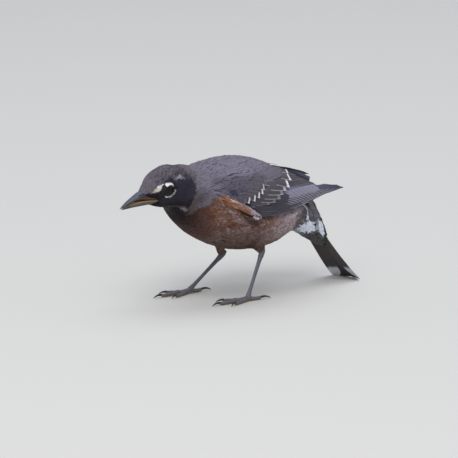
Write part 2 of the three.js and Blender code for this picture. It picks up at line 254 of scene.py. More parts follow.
# Rows along the bill: [ahead of the eyes, its upper line, its lower line, half its width].
UPPER_LINE, LOWER_LINE, HALF_WIDTH = 1, 2, 3
UPPER_BILL = [
    (6.2, -4.6, -5.2, 6.1), (8, -2.6, -4.5, 5.9), (11, 0.4, -3.5, 5.2), (14, 2.1, -2.5, 4.5),
    (17, 2.1, -1.6, 3.8), (20, 1.35, -1.2, 3.1), (24, 0.0, -1.5, 2.4), (28, -1.35, -2.3, 1.75),
    (32, -3.0, -3.7, 0.95), (34.4, -4.4, -4.6, 0.12),
]
LOWER_BILL = [
    (6.2, -5.2, -7.8, 5.9), (8, -5.1, -8.5, 5.6), (11, -4.5, -8.4, 4.9), (14, -4.0, -8.1, 4.2),
    (19, -3.3, -7.4, 3.2), (24, -3.5, -6.6, 2.3), (28, -4.1, -6.1, 1.6), (31.4, -4.8, -5.7, 0.9),
    (33.2, -5.2, -5.4, 0.12),
]


def bill_line(rows, column, ahead):
    """One column of a bill's rows, read at places ahead of the eyes."""
    return np.interp(ahead, *np.array(rows)[:, [0, column]].T)


# ---- skin ----

FLESH = ("head", "neck", "trunk", "thigh_left", "thigh_right", "wing_left", "wing_right")
WING_FLESH_END = 24  # behind this the wing is only feathers
VOXEL = 0.85
GAP_CLOSE = 2.4  # gaps narrower than twice this are closed over
# Rounds of evening out: the new shell, before and after it is drawn in, the shoulder, the face.
EVEN_SHELL, EVEN_BEFORE, EVEN_AFTER, EVEN_SHOULDER, EVEN_FACE = 2, 5, 6, 45, 2
FOREHEAD_LOFT = 1.7  # how far the crown's raised tufts stand out over the flat coat
# A further share of it, where ahead of the eyes that is highest, and its spread.
LOFT_SWELL, LOFT_SWELL_AT, LOFT_SWELL_REACH = 0.3, -7.0, 4.0
# How far inside the bill's half width the face is drawn in, and below its upper line the front.
FACE_DRAWN, FRONT_SUNK = 2.4, 0.8


def coat_depth(points):
    """How thick the coat lies over the skin."""
    ahead, _, _ = from_head(points)
    leg = ramp(36, 28, points[..., 2]) * ramp(36, 26, points[..., 1])
    return in_turn(2.0, (1.15, ramp(-36, -20, ahead)), (0.6, ramp(5, 14, ahead)), (1.0, leg))


def forehead_loft(points):
    """The height of the forehead's and crown's raised tufts over the flat coat."""
    ahead, up, _ = from_head(points)
    swell = 1 + LOFT_SWELL * np.exp(-(((ahead - LOFT_SWELL_AT) / LOFT_SWELL_REACH) ** 2))
    return FOREHEAD_LOFT * swell * ramp(-17, -9, ahead) * ramp(20.5, 14, ahead) * ramp(4, 9, up)


def envelope():
    """The flesh nodes and the eyes' rounds as one closed mesh."""
    whole = bmesh.new()
    for name in FLESH + ("eye_left", "eye_right"):
        part = bmesh.new()
        part.from_mesh(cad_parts[name].data)
        bmesh.ops.remove_doubles(part, verts=part.verts, dist=1e-6)
        if name.startswith("wing"):
            cut = bmesh.ops.bisect_plane(
                part,
                geom=part.verts[:] + part.edges[:] + part.faces[:],
                plane_co=(0, WING_FLESH_END * MM, 0),
                plane_no=(0, 1, 0),
                clear_outer=True,
            )
            rim = [e for e in cut["geom_cut"] if isinstance(e, bmesh.types.BMEdge)]
            bmesh.ops.triangle_fill(part, edges=rim, use_beauty=True)
        copy = bpy.data.meshes.new("part")
        part.to_mesh(copy)
        part.free()
        whole.from_mesh(copy)
        bpy.data.meshes.remove(copy)
    mesh = bpy.data.meshes.new("envelope")
    whole.to_mesh(mesh)
    whole.free()
    places, quads = remeshed(mesh)
    # Swelling it, remeshing it and drawing it back in closes the narrow gaps between the nodes.
    swollen = places + vertex_normals(places, quads) * GAP_CLOSE
    mesh = bpy.data.meshes.new("envelope")
    mesh.from_pydata((swollen * MM).tolist(), [], quads.tolist())
    places, quads = remeshed(mesh)
    places = relax(places, edges_of(quads), EVEN_SHELL)
    return places - vertex_normals(places, quads) * GAP_CLOSE, quads


def remeshed(mesh):
    """A mesh made anew from even cubes, as the places and quads of its largest shell."""
    obj = put("envelope", mesh)
    remesh = obj.modifiers.new("remesh", "REMESH")
    remesh.mode = "VOXEL"
    remesh.voxel_size = VOXEL * MM
    made = obj.evaluated_get(bpy.context.evaluated_depsgraph_get()).to_mesh()
    places = places_of(made)
    corners = np.array([tuple(p.vertices) for p in made.polygons])
    obj.to_mesh_clear()
    bpy.data.objects.remove(obj)
    bpy.data.meshes.remove(mesh)
    return largest_shell(places, corners)


def edges_of(quads):
    edges = np.concatenate([quads[:, [i, (i + 1) % 4]] for i in range(4)])
    return np.unique(np.sort(edges, axis=1), axis=0)


def gathered(at, vectors, count):
    """Adds up the vectors that go to each of count vertices."""
    return np.stack([np.bincount(at, vectors[:, axis], count) for axis in range(3)], axis=1)


def relax(places, edges, rounds):
    """Evens a mesh out by moving each vertex halfway to the middle of its neighbours."""
    count = np.bincount(edges.ravel(), minlength=len(places))[:, None]
    a, b = edges.T
    for _ in range(rounds):
        total = gathered(a, places[b], len(places)) + gathered(b, places[a], len(places))
        places = places + 0.5 * (total / np.maximum(count, 1) - places)
    return places


def vertex_normals(places, quads):
    a, b, c, d = (places[quads[:, corner]] for corner in range(4))
    across = np.cross(c - a, d - b)
    return unit(sum(gathered(quads[:, corner], across, len(places)) for corner in range(4)))


def largest_shell(places, quads):
    """Keeps the biggest connected piece, so that no loose bubble is left inside."""
    label = np.arange(len(places))
    while True:
        lowest = label[quads].min(axis=1)
        new = label.copy()
        for corner in range(4):
            np.minimum.at(new, quads[:, corner], lowest)
        new = new[new]
        if (new == label).all():
            break
        label = new
    names, counts = np.unique(label, return_counts=True)
    keep = label == names[np.argmax(counts)]
    index = np.cumsum(keep) - 1
    return places[keep], index[quads[keep[quads[:, 0]]]]


def carved(places):
    """Draws the face in along the mouth, so that the gape and the mandibles' sides lie bare."""
    ahead, up, left = from_head(places)
    top = bill_line(UPPER_BILL, UPPER_LINE, ahead)
    chin = bill_line(LOWER_BILL, LOWER_LINE, ahead)
    edge = bill_line(UPPER_BILL, LOWER_LINE, ahead)
    wide = bill_line(UPPER_BILL, HALF_WIDTH, ahead) - FACE_DRAWN
    band = ramp(edge + 1.7, edge + 0.3, up) * ramp(chin - 1.2, chin + 0.4, up) * ramp(5.4, 8.0, ahead)
    front = ramp(15.5, 18.5, ahead)
    pull = np.maximum(np.abs(left) - wide, 0) * np.maximum(band, front)
    inner = places - HEAD_LEFT * (np.sign(left) * pull)[:, None]
    sink = np.maximum(up - (top - FRONT_SUNK), 0) * front
    return inner - HEAD_UP * sink[:, None]


def build_skin():
    places, quads = envelope()
    edges = edges_of(quads)
    places = relax(places, edges, EVEN_BEFORE)
    places = places - vertex_normals(places, quads) * coat_depth(places)[:, None]
    places = relax(places, edges, EVEN_AFTER)
    y, z = places[:, 1], places[:, 2]
    shoulder = ramp(66, 72, z) * ramp(-46, -38, y) * ramp(26, 12, y)
    places = blend(places, relax(places, edges, EVEN_SHOULDER), shoulder)
    places = relax(carved(places), edges, EVEN_FACE)
    return places, quads, vertex_normals(places, quads)


SKIN_PLACES, SKIN_QUADS, SKIN_NORMALS = build_skin()
SKIN_TREE = tree_of(SKIN_PLACES, SKIN_QUADS)
if SKIN_NORMALS[np.argmax(SKIN_PLACES[:, 2])][2] < 0:
    raise RuntimeError("the skin is inside out")


def onto_skin(points):
    """The nearest skin places and the way out of the skin there."""
    flat = points.reshape(-1, 3)
    found = np.empty_like(flat)
    faces = np.empty(len(flat), int)
    for i, p in enumerate(flat.tolist()):
        place, _, face, _ = SKIN_TREE.find_nearest(p)
        found[i] = place
        faces[i] = face
    # The normal is blended over the face's corners by nearness, so that it has no steps.
    corners = SKIN_QUADS[faces]
    near = 1 / (np.linalg.norm(SKIN_PLACES[corners] - found[:, None], axis=-1) + 0.05)
    normals = unit((SKIN_NORMALS[corners] * near[..., None]).sum(axis=1))
    return found.reshape(points.shape), normals.reshape(points.shape)


# ---- markings ----

CROWN = paint(104, 98, 109)
CROWN_MOTTLE = paint(50, 44, 52)
MASK = paint(49, 47, 60)
NAPE = paint(122, 118, 132)
BACK = paint(111, 106, 123)
BACK_CENTRE = paint(84, 79, 91)
BACK_EDGE = paint(134, 128, 144)
RUMP = paint(74, 72, 80)
WING_BEND = paint(62, 64, 82)
RUFOUS = paint(125, 82, 61)
RUFOUS_DARK = paint(85, 57, 42)
ORANGE = paint(164, 114, 86)
BUFF_WHITE = paint(216, 212, 226)
BREAST_EDGE = paint(174, 160, 166)
BELLY_EDGE = paint(194, 184, 196)
OLIVE_GREY = paint(104, 102, 104)
VENT_WHITE = paint(226, 232, 248)
# VENT_SHADE is painted shade under the tail, dark olive.
VENT_SHADE = paint(53, 57, 42)
WHITE = paint(240, 240, 238)
BUFF = paint(206, 178, 138)
STREAK = paint(160, 156, 160)
THIGH = paint(112, 92, 84)

# Outlines on the side of the head, as [ahead of the eye, above it].
MASK_OUTLINE = [
    (24, 3.5), (16.9, 0.9), (12.7, 0.9), (7.6, 0.6), (5.4, 1.5), (3.6, 4.2), (0.6, 6.4), (-2.5, 7.3),
    (-7.2, 6.9), (-13.2, 6.0), (-17.0, 6.6), (-19.1, 2.7), (-18.6, -2.1), (-17.4, -5.9),
    (-15.2, -8.7), (-12.3, -11.8), (-10.8, -15.4), (-10.2, -20), (-9.0, -24.2), (-6.4, -24.6),
    (0, -34), (30, -34), (30, -4),
]
LORE_SPOT = [(9.6, 1.4), (7.4, 2.3), (5.2, 3.2), (3.0, 3.9)]
MALAR_STREAK = [(0.8, -12.0), (-4.6, -13.3), (-7.7, -13.4)]
THROAT_FLECK = [(-8.0, -15.0), (-9.0, -16.0)]
EYE_FLECKS = [(-7.2, 5.5), (-9.6, 6.1), (-12.6, 5.4)]
# The eye's opening: half its length and height, and the two white arcs, in turns round the eye
# from straight ahead over the top, with each arc's width at its two ends.
EYE_OPEN_AT = (-0.4, -0.35)
EYE_LONG, EYE_TALL = 4.15, 3.95
UPPER_ARC = (64, 150, 1.7, 1.2)
LOWER_ARC = (182, 318, 0.75, 1.5)

# The edge of the rufous, from the throat up the side of the breast, as [y, z].
RUFOUS_EDGE = [
    (-60, 52), (-52, 57.5), (-48, 57.6), (-45.5, 61), (-41.5, 65), (-36.5, 69), (-33, 74.5), (-31, 77),
    (-24, 73.4), (-17, 70.5), (-12, 66), (-6, 61.5), (6, 58.3), (29, 58.2), (36, 57), (41.5, 54),
    (44.5, 50), (46, 44), (44, 30), (60, 10), (-60, 10),
]
TUFT_LINE = [(-29, 73), (-23, 70.6), (-17, 67.2), (-11, 63.6), (-5.5, 59.2), (4, 55.2)]
TUFT_AIM = (13, 52.6)
TUFT_SHADE_DROP = 4.6  # how far below the tufts their shade lies
# The two white lobes under the tail, and the fine pale line above them.
VENT_LOBES = (
    [(44.2, 41), (48.6, 45.8), (54.8, 45.4), (56.2, 41.4), (55, 37.8), (48, 38.2)],
    [(57.6, 45.6), (62.6, 45.6), (66.4, 41), (67.2, 36.4), (64.6, 34.8), (59.8, 38.6)],
)
VENT_LINE = [(48.8, 53.2), (50.2, 46)]
WING_SHADE = [(-3, 59.5), (6, 56.6), (15, 56), (24, 56.4), (36, 57.2)]
BEND_OUTLINE = [(-31, 77.5), (-20, 79.5), (-8, 77), (-3, 74), (-8, 69), (-13, 68), (-25, 73)]


def arc_share(angle, far, arc):
    """How far a place at this angle, and far from the eye's rim, lies in a white arc."""
    start, end, wide_start, wide_end = arc
    t = np.clip((angle - start) / (end - start), 0, 1)
    wide = blend(wide_start, wide_end, t) * np.sqrt(np.clip(1.12 - (2 * t - 1) ** 4, 0.05, 1))
    ends = ramp(start - 6, start + 3, angle) * ramp(end + 6, end - 3, angle)
    return ends * ramp(wide + 0.25, wide - 0.25, far) * ramp(-0.2, 0.3, far)


class Look:
    """The colour, fringe colour and fringe strength at places."""

    def __init__(self, colour, fringe, amount):
        self.colour, self.fringe, self.amount = colour, fringe, amount

    def lay(self, share, colour=None, fringe=None, amount=None):
        """Covers what is there with each one that is given, by a share from 0 to 1."""
        for name, over in (("colour", colour), ("fringe", fringe), ("amount", amount)):
            if over is not None:
                setattr(self, name, blend(getattr(self, name), over, share))

    def shade(self, share, gain=1.0, fringe_gain=1.0):
        """Multiplies the colour and the fringe by their gains, by a share from 0 to 1."""
        self.lay(share, self.colour * np.array(gain), self.fringe * np.array(fringe_gain))


class Spots:
    """Places on the bird, and the measures that its markings are worked out from."""

    def __init__(self, points, normals):
        self.normals = normals
        self.y, self.z = points[..., 1], points[..., 2]
        self.out = np.abs(points[..., 0])
        self.ahead, self.up, self.left = from_head(points)
        self.fine, self.broad = ripple(points, 3.1), ripple(points, 11.0, 1.3)
        self.speck = ripple(points, 2.3)
        self.on_side = np.stack([self.ahead, self.up], axis=-1)
        self.on_body = points[..., 1:]
        inside = within(self.on_body, RUFOUS_EDGE) + 1.2 * self.fine + 0.8 * self.broad
        self.below = ramp(-0.8, 1.6, inside + 2.5 * ramp(-34, -46, self.y))

    def from_body(self, line):
        """Distance from a line on the body's side."""
        return away_from(self.on_body, line)[0]

    def from_side(self, line):
        """Distance from a line on the head's side."""
        return away_from(self.on_side, line)[0]


def upperparts(s):
    """Grey nape into a browner back with darker centres, then the grey rump."""
    colour = between(NAPE, BACK, ramp(-44, -26, s.y))
    fringe = between(NAPE * 1.12, BACK_EDGE, ramp(-40, -24, s.y))
    look = Look(colour, fringe, 0.35 + 0.25 * s.fine)
    look.lay(ramp(38, 48, s.y), RUMP)
    look.lay(0.35 * ramp(-0.1, 0.9, s.broad) * ramp(-36, -24, s.y), BACK_CENTRE)
    # A painted shadow darkens the long scapulars just over the wing.
    band = ramp(75, 79, s.z) * ramp(87.5, 83.5, s.z) * ramp(-36, -24, s.y) * ramp(22, 8, s.y)
    look.shade(band * ramp(12, 20, s.out), 0.55, 0.6)
    look.lay(ramp(-1.5, 2, within(s.on_body, BEND_OUTLINE)) * ramp(18, 24, s.out), WING_BEND)
    return look


def underparts(look, s):
    """Rufous from the throat to the belly, its feathers edged paler towards the rear."""
    rufous = between(RUFOUS, RUFOUS_DARK, ramp(-30, -48, s.y + 3 * s.broad))
    rufous = blend(rufous, RUFOUS_DARK, 0.35 * ramp(0, 1, -s.broad))
    rear, low = ramp(4, 26, s.y), ramp(58, 36, s.z)
    edged = 0.15 + 0.45 * np.maximum(rear, low) + 0.7 * ramp(0.05, 0.6, s.fine + 0.6 * s.broad)
    edged = edged * ramp(-54, -42, s.y)
    look.lay(s.below, rufous, between(BREAST_EDGE, BELLY_EDGE, rear), edged)
    # Painted shade darkens it underneath, in front, along the keel, at the wing's lower edge and under
    # the tufts.
    belly_shade, front = ramp(50, 30, s.z) * ramp(46, 30, s.y), ramp(-22, -40, s.y)
    look.shade(belly_shade * s.below, 0.42)
    look.shade(front * s.below * (1 - belly_shade), (0.58, 0.42, 0.18))
    look.shade(np.maximum(belly_shade, front) * s.below, 1.0, (0.4, 0.29, 0.17))
    keel = ramp(64, 46, s.z) * ramp(18, 2, s.y) * s.below
    look.shade(keel, (0.66, 0.66, 0.6), (0.56, 0.54, 0.52))
    wing_shade = ramp(3.4, 1.0, s.from_body(WING_SHADE)) * ramp(16, 20, s.out)
    look.shade(wing_shade * s.below, 0.42, 0.42)
    tuft_shadow, _ = away_from(s.on_body + np.array([0.0, TUFT_SHADE_DROP]), TUFT_LINE)
    tuft_shadow = ramp(3.2, 1.2, tuft_shadow) * ramp(22, 26, s.out)
    look.shade(tuft_shadow * ramp(-22, -14, s.y) * ramp(2, -4, s.y), 0.4, 0.4)
    # The orange flank tuft is buff-white at its end.
    far, along = away_from(s.on_body, TUFT_LINE)
    tuft = ramp(3.4, 1.6, far) * ramp(22, 26, s.out) * s.below * ramp(0.7, 0.5, along)
    pale = ramp(0.62, 0.9, along + 0.12 * s.fine)
    pale_fringe = ramp(0.3, 0.7, along)
    look.lay(tuft, between(ORANGE * 0.75, BUFF_WHITE, pale), between(ORANGE, BUFF_WHITE, pale_fringe))


def hind_parts(look, s):
    """Olive-grey behind the flank, white lobes under the tail on painted olive shade, and the thighs.
    """
    behind = ramp(34, 40, s.y + 1.5 * s.fine)
    look.lay(0.7 * behind * ramp(66, 60, s.z), OLIVE_GREY)
    look.lay(behind, amount=0.25)
    # Painted shade under the tail, dark olive.
    look.lay(ramp(45, 50, s.y) * ramp(52, 46, s.z + 0.3 * (s.y - 50)), VENT_SHADE)
    first, second = (ramp(-1.0, 0.6, within(s.on_body, lobe) + 0.5 * s.fine) for lobe in VENT_LOBES)
    downward = ramp(0.8, 0.5, 0.84 * s.normals[..., 1] + 0.54 * s.normals[..., 2])
    middle = ramp(13, 5, s.out) * ramp(20, 32, s.y) * ramp(42, 35, s.z) * ramp(52, 44, s.y)
    pale = np.maximum(np.maximum(first, second) * downward, 0.8 * middle)
    pale = np.maximum(pale, 0.9 * ramp(1.1, 0.5, s.from_body(VENT_LINE)) * (s.out > 8))
    look.lay(pale, VENT_WHITE, VENT_WHITE, 0.9)
    look.lay(ramp(33, 30.5, s.z) * ramp(30, 26, s.y), THIGH, amount=0.2)


def head_parts(look, s):
    """A mottled crown over a black mask and throat, and painted shade on the side of the neck."""
    head = ramp(-27, -19, s.ahead + 1.5 * s.fine)
    crown = between(CROWN, CROWN_MOTTLE, 0.75 * ramp(-0.15, 0.55, s.speck))
    crown = blend(crown, CROWN * 1.5, 0.6 * ramp(3, 10, s.ahead))
    look.lay(head * ramp(-3, 3, s.up), crown)
    look.lay(head, None, CROWN * 1.2, 0.25)
    mask_in = within(s.on_side, MASK_OUTLINE) + 0.5 * s.fine
    mask, lore, throat = ramp(-0.6, 0.6, mask_in), ramp(4, 9, s.ahead), ramp(-7, -12, s.up)
    look.lay(mask, MASK, MASK * 1.5)
    look.lay(mask * np.maximum(throat, lore), None, MASK * np.array([0.8, 0.62, 0.5]))
    look.lay(mask, amount=0.3)
    faded = ramp(0.1, 0.7, s.broad) * ramp(-8, -16, s.ahead) * ramp(-2, 4, s.up)
    look.lay(0.5 * faded * mask, NAPE * 0.45)
    look.lay(mask * throat, MASK * np.array([0.5, 0.36, 0.26]))
    look.shade(mask * lore, (0.3, 0.22, 0.17))
    # The throat's fine pale streaks, seen from the front.
    streaks = ramp(0.45, 0.8, np.sin(s.left * 2.6 + 0.8 * s.fine)) * ramp(-11, -14, s.up)
    streaks = streaks * ramp(-23, -19, s.up) * ramp(7.5, 5, np.abs(s.left)) * ramp(-8, -2, s.ahead)
    look.lay(0.35 * streaks * mask, STREAK)
    # Painted shade on the side of the neck, behind and below the mask.
    neck_shade = ramp(-10, -0.5, mask_in) * (1 - mask) * ramp(-3, -11, s.up) * ramp(-30, -22, s.ahead)
    look.shade(neck_shade, (0.48, 0.38, 0.3), (0.48, 0.38, 0.3))


def white_marks(look, s):
    """The pale marks of the face: streaks, flecks, the spot on the lore and the broken eye ring."""
    chin = s.up < -8
    look.lay(0.2 * ramp(0.75, 0.3, s.from_side(MALAR_STREAK)) * chin, STREAK)
    look.lay(0.6 * ramp(2.0, 0.4, s.from_side(THROAT_FLECK) + 0.5 * s.fine) * chin, STREAK * 1.2)
    flecks = ramp(1.4, 0.3, s.from_side(EYE_FLECKS) + 0.7 * s.fine)
    look.lay(0.7 * flecks, WHITE * np.array([0.66, 0.66, 0.8]))
    far, along = away_from(s.on_side, LORE_SPOT)
    wide = 0.65 + 0.75 * np.sin(np.clip(along, 0, 1) * 2.3)
    spot = ramp(wide + 0.25, wide - 0.25, far) * (np.abs(s.left) > 2)
    look.lay(spot, between(BUFF, WHITE, ramp(0.1, 0.45, along)))
    near_eye = (np.abs(s.left) > 4) * (np.abs(s.ahead) < 9) * (np.abs(s.up) < 9)
    white = eye_ring(s.ahead, s.up) * near_eye
    look.lay(white, WHITE)
    look.lay(np.maximum(spot, white), None, WHITE)


def plumage(points, normals):
    """The bird's markings: the colour, fringe colour and fringe strength at places on it."""
    spots = Spots(points, normals)
    look = upperparts(spots)
    for cover in (underparts, hind_parts, head_parts, white_marks):
        cover(look, spots)
    return look.colour, look.fringe, np.clip(look.amount, 0, 1)


def round_eye(ahead, up):
    """Turn round the eye in degrees, from straight ahead over the top, and distance from its rim."""
    ahead, up = ahead - EYE_OPEN_AT[0], up - EYE_OPEN_AT[1]
    angle = np.degrees(np.arctan2(up, ahead)) % 360
    reach = np.hypot(ahead / EYE_LONG, up / EYE_TALL)
    rim = (reach - 1) * np.hypot(ahead, up) / np.maximum(reach, 0.05)
    return angle, rim


def eye_ring(ahead, up):
    """How far places beside the head lie in the two white arcs round its eye."""
    angle, rim = round_eye(ahead, up)
    return np.maximum(arc_share(angle, rim, UPPER_ARC), arc_share(angle, rim, LOWER_ARC))


# ---- the bake map ----

PATCH = 0.003  # a feather's patch on the map
MAP_RIM, MAP_WIDE = 0.02, 0.96  # the part of the map that is used
SPINE = [(-92, 76), (-70, 80), (-55, 78), (-35, 70), (0, 62), (40, 60), (62, 45), (90, 20)]


def unwrapped(points):
    """Where skin places lie on the skin unrolled round its spine, from 0 to 1 each way."""
    y = points[..., 1]
    spine = np.array(SPINE, float)
    height = np.interp(y, spine[:, 0], spine[:, 1])
    turn = np.arctan2(points[..., 0], points[..., 2] - height) / (2 * math.pi) + 0.5
    along = (y - spine[0, 0]) / (spine[-1, 0] - spine[0, 0])
    return MAP_RIM + MAP_WIDE * np.stack([along, turn], axis=-1)


# ---- vanes ----

SOFT_ROWS, SOFT_COLUMNS = 5, 5


def read_rows(rows, shares):
    """Reads points stored per row along feathers at shares from 0 to 1: (N, R, 3) at (N, R, C)."""
    count = rows.shape[1]
    at = np.clip(shares, 0, 1) * (count - 1)
    i = np.minimum(at.astype(int), count - 2)
    t = (at - i)[..., None]
    pick = np.arange(len(rows))[:, None, None]
    return rows[pick, i] * (1 - t) + rows[pick, i + 1] * t


def vane_faces(count, rows, columns, ring):
    """Corner indices, face sizes and smoothness of closed vanes. Each row of a vane is a ring of
    corners: the columns of its top sheet, and then what lies below them, back again."""
    faces, smooth = [], []
    for r in range(rows - 1):
        a, b = r * ring, (r + 1) * ring
        for i in range(ring):
            j = (i + 1) % ring
            faces.append((a + i, a + j, b + j, b + i))
            smooth.append(i < columns - 1)

    def below(c):
        return columns if ring == columns + 1 else (ring - c) % ring

    for base, turn in (((rows - 1) * ring, 1), (0, -1)):
        for c in range(columns - 1):
            corners = list(dict.fromkeys([c, c + 1, below(c + 1), below(c)]))
            faces.append([base + v for v in corners[::turn]])
            smooth.append(False)
    sizes = np.array([len(f) for f in faces])
    loops = np.array([v for f in faces for v in f])
    all_loops = (loops[None] + np.arange(count)[:, None] * rows * ring).ravel()
    return all_loops, np.tile(sizes, count), np.tile(np.array(smooth), count)


def set_vane_maps(obj, spots, baked):
    set_map(obj, "vane", spots)
    set_map(obj, "OFBake", baked)
    layers = obj.data.uv_layers
    layers.active = layers["vane"]
    layers["vane"].active_render = True


def vanes(name, top, keel, maps, roots):
    """Joined closed feathers. top is (N, R, C, 3) and keel (N, R, 3)."""
    count, rows, columns, _ = top.shape
    # Columns run left to right seen from outside, so that the top faces out.
    places = np.concatenate([top, keel[:, :, None]], axis=2)
    loops, sizes, smooth = vane_faces(count, rows, columns, columns + 1)
    obj = mesh_object(name, places.reshape(-1, 3), loops, sizes, smooth)
    spots = np.concatenate([maps, maps[:, :, columns // 2][:, :, None]], axis=2).reshape(-1, 2)
    home = per_vertex(unwrapped(roots))
    set_vane_maps(obj, spots, home + (spots - 0.5) * PATCH)
    return obj


def per_vertex(values):
    """A soft feather's value, given to each of its vertices."""
    return np.repeat(values, SOFT_ROWS * (SOFT_COLUMNS + 1), axis=0)


# ---- the contour coat ----

# Where the wing's lesser coverts and the scapulars end over the greater coverts, as [y, z].
COVER_EDGE = [
    (-34, 71), (-18, 71.3), (-15, 71.3), (-11, 71.8), (-7.5, 73.2), (-4.2, 75), (-2, 77.2),
    (2, 78.4), (12, 79), (22, 80.3), (32, 81.5), (36, 90),
]
BILL_BASE = (19.5, -3.0)  # ahead and up of where the face feathers start
# The ways the feathers point on the tail's coverts, the leg and the flank tuft.
TAIL_WAY, LEG_WAY, TUFT_WAY = (0.0, 0.54, -0.84), (0.0, -0.1, -1.0), (0.0, 1.0, -0.52)


def flow(points, normals):
    """The way the feathers lie: back from the bill, over the body and down to the tail."""
    x, y, z = points[..., 0], points[..., 1], points[..., 2]
    ahead, _, _ = from_head(points)
    start = on_head(BILL_BASE[0], BILL_BASE[1], 0.0)
    back = unit(unit(points - start) - 0.5 * HEAD_AHEAD)
    fall = blend(-0.22, 0.10, ramp(50, 34, z)) - 0.25 * ramp(-20, -40, y)
    far, _ = away_from(points[..., 1:], TUFT_LINE)
    way = in_turn(
        np.stack([np.zeros_like(x), np.ones_like(x), fall], axis=-1),
        (back, ramp(-34, -18, ahead)),
        (np.array(TAIL_WAY), ramp(36, 50, y)),
        (np.array(TUFT_WAY), ramp(6, 3, far) * ramp(22, 27, np.abs(x))),
        (np.array(LEG_WAY), ramp(31.5, 29, z) * ramp(30, 26, y)),
    )
    return unit(way - dot(way, normals)[..., None] * normals)


def feather_length(points):
    """How long the feathers are, from the face to the rump."""
    y, z = points[..., 1], points[..., 2]
    ahead, up, left = from_head(points)
    _, rim = round_eye(ahead, up)
    near_eye = ramp(4.0, 0.5, rim) * (np.abs(left) > 4) * (np.abs(ahead) < 10)
    return in_turn(
        11.5,
        (14.0, ramp(10, 40, y)),
        (9.0, ramp(-26, -42, y)),
        (4.6, ramp(-30, -17, ahead)),
        (3.2, ramp(-4, 3, ahead)),
        (2.0, ramp(9, 15, ahead)),
        (1.9, near_eye),
        (5.5, ramp(33, 30, z) * ramp(30, 26, y)),
    )


def feather_width(points):
    """Half the width of the feathers: slim on the head and back, broader on the flank and vent."""
    y, z = points[..., 1], points[..., 2]
    ahead, _, _ = from_head(points)
    return in_turn(
        1.25,
        (1.9, ramp(74, 60, z) * ramp(-20, 10, y)),
        (2.3, ramp(38, 48, y)),
        (0.8, ramp(-34, -22, ahead)),
        (0.6, ramp(-4, 3, ahead)),
        (0.46, ramp(9, 15, ahead)),
        (1.0, ramp(33, 30, z) * ramp(30, 26, y)),
    )


SPACING = 0.104  # from one root to the next, as a share of the feather's length
LEAST_SPACING = 0.56
CANDIDATES = 7  # places tried for each one that could fit


def spacing(points):
    return np.maximum(feather_length(points) * SPACING, LEAST_SPACING)


def scatter():
    """Places on the skin, evenly spaced by the local feather length, in a fixed order."""
    corners = SKIN_PLACES[SKIN_QUADS]
    tris = np.concatenate([corners[:, [0, 1, 2]], corners[:, [0, 2, 3]]])
    area = np.linalg.norm(np.cross(tris[:, 1] - tris[:, 0], tris[:, 2] - tris[:, 0]), axis=1) / 2
    cut = np.cumsum(area / (0.7 * spacing(tris.mean(axis=1)) ** 2) * CANDIDATES)
    count = int(cut[-1])
    pick = np.searchsorted(cut, chance.random(count) * cut[-1])
    a, b = chance.random((2, count))
    flip = a + b > 1
    a, b = np.where(flip, 1 - a, a), np.where(flip, 1 - b, b)
    tri = tris[pick]
    spots = tri[:, 0] + a[:, None] * (tri[:, 1] - tri[:, 0]) + b[:, None] * (tri[:, 2] - tri[:, 0])
    gaps = spacing(spots)
    near = KDTree(count)
    for i, p in enumerate(spots.tolist()):
        near.insert(p, i)
    near.balance()
    free = np.ones(count, bool)
    kept = []
    for i in range(count):
        if not free[i]:
            continue
        kept.append(i)
        for _, j, _ in near.find_range(spots[i], gaps[i]):
            free[j] = False
    return spots[kept]


VANE_CAMBER = 0.1  # how high the middle of a feather stands, as a share of its half width
VANE_THICK, VANE_THIN = 0.22, 0.06  # at its root and its tip
NOTCH = 0.955  # every other column ends a little short, so that the tip is frayed
# How much the lift, the tone and the fringe vary from feather to feather.
LIFT_SPREAD, TONE_SPREAD, FRINGE_SPREAD = 0.035, 0.07, 0.12


def lay_paths(roots, lengths, turns, way_of=flow):
    """Walks from each root along the lie of the coat. Gives places, ways out and ways along."""
    place, normal = onto_skin(roots)
    places, normals, ways = [place], [normal], []
    for row in range(1, SOFT_ROWS + 1):
        way = way_of(place, normal)
        side = np.cross(normal, way)
        way = unit(way + side * np.tan(turns)[:, None])
        ways.append(way)
        if row == SOFT_ROWS:
            break
        place, normal = onto_skin(place + way * (lengths / (SOFT_ROWS - 1))[:, None])
        places.append(place)
        normals.append(normal)
    return np.stack(places, axis=1), np.stack(normals, axis=1), np.stack(ways, axis=1)


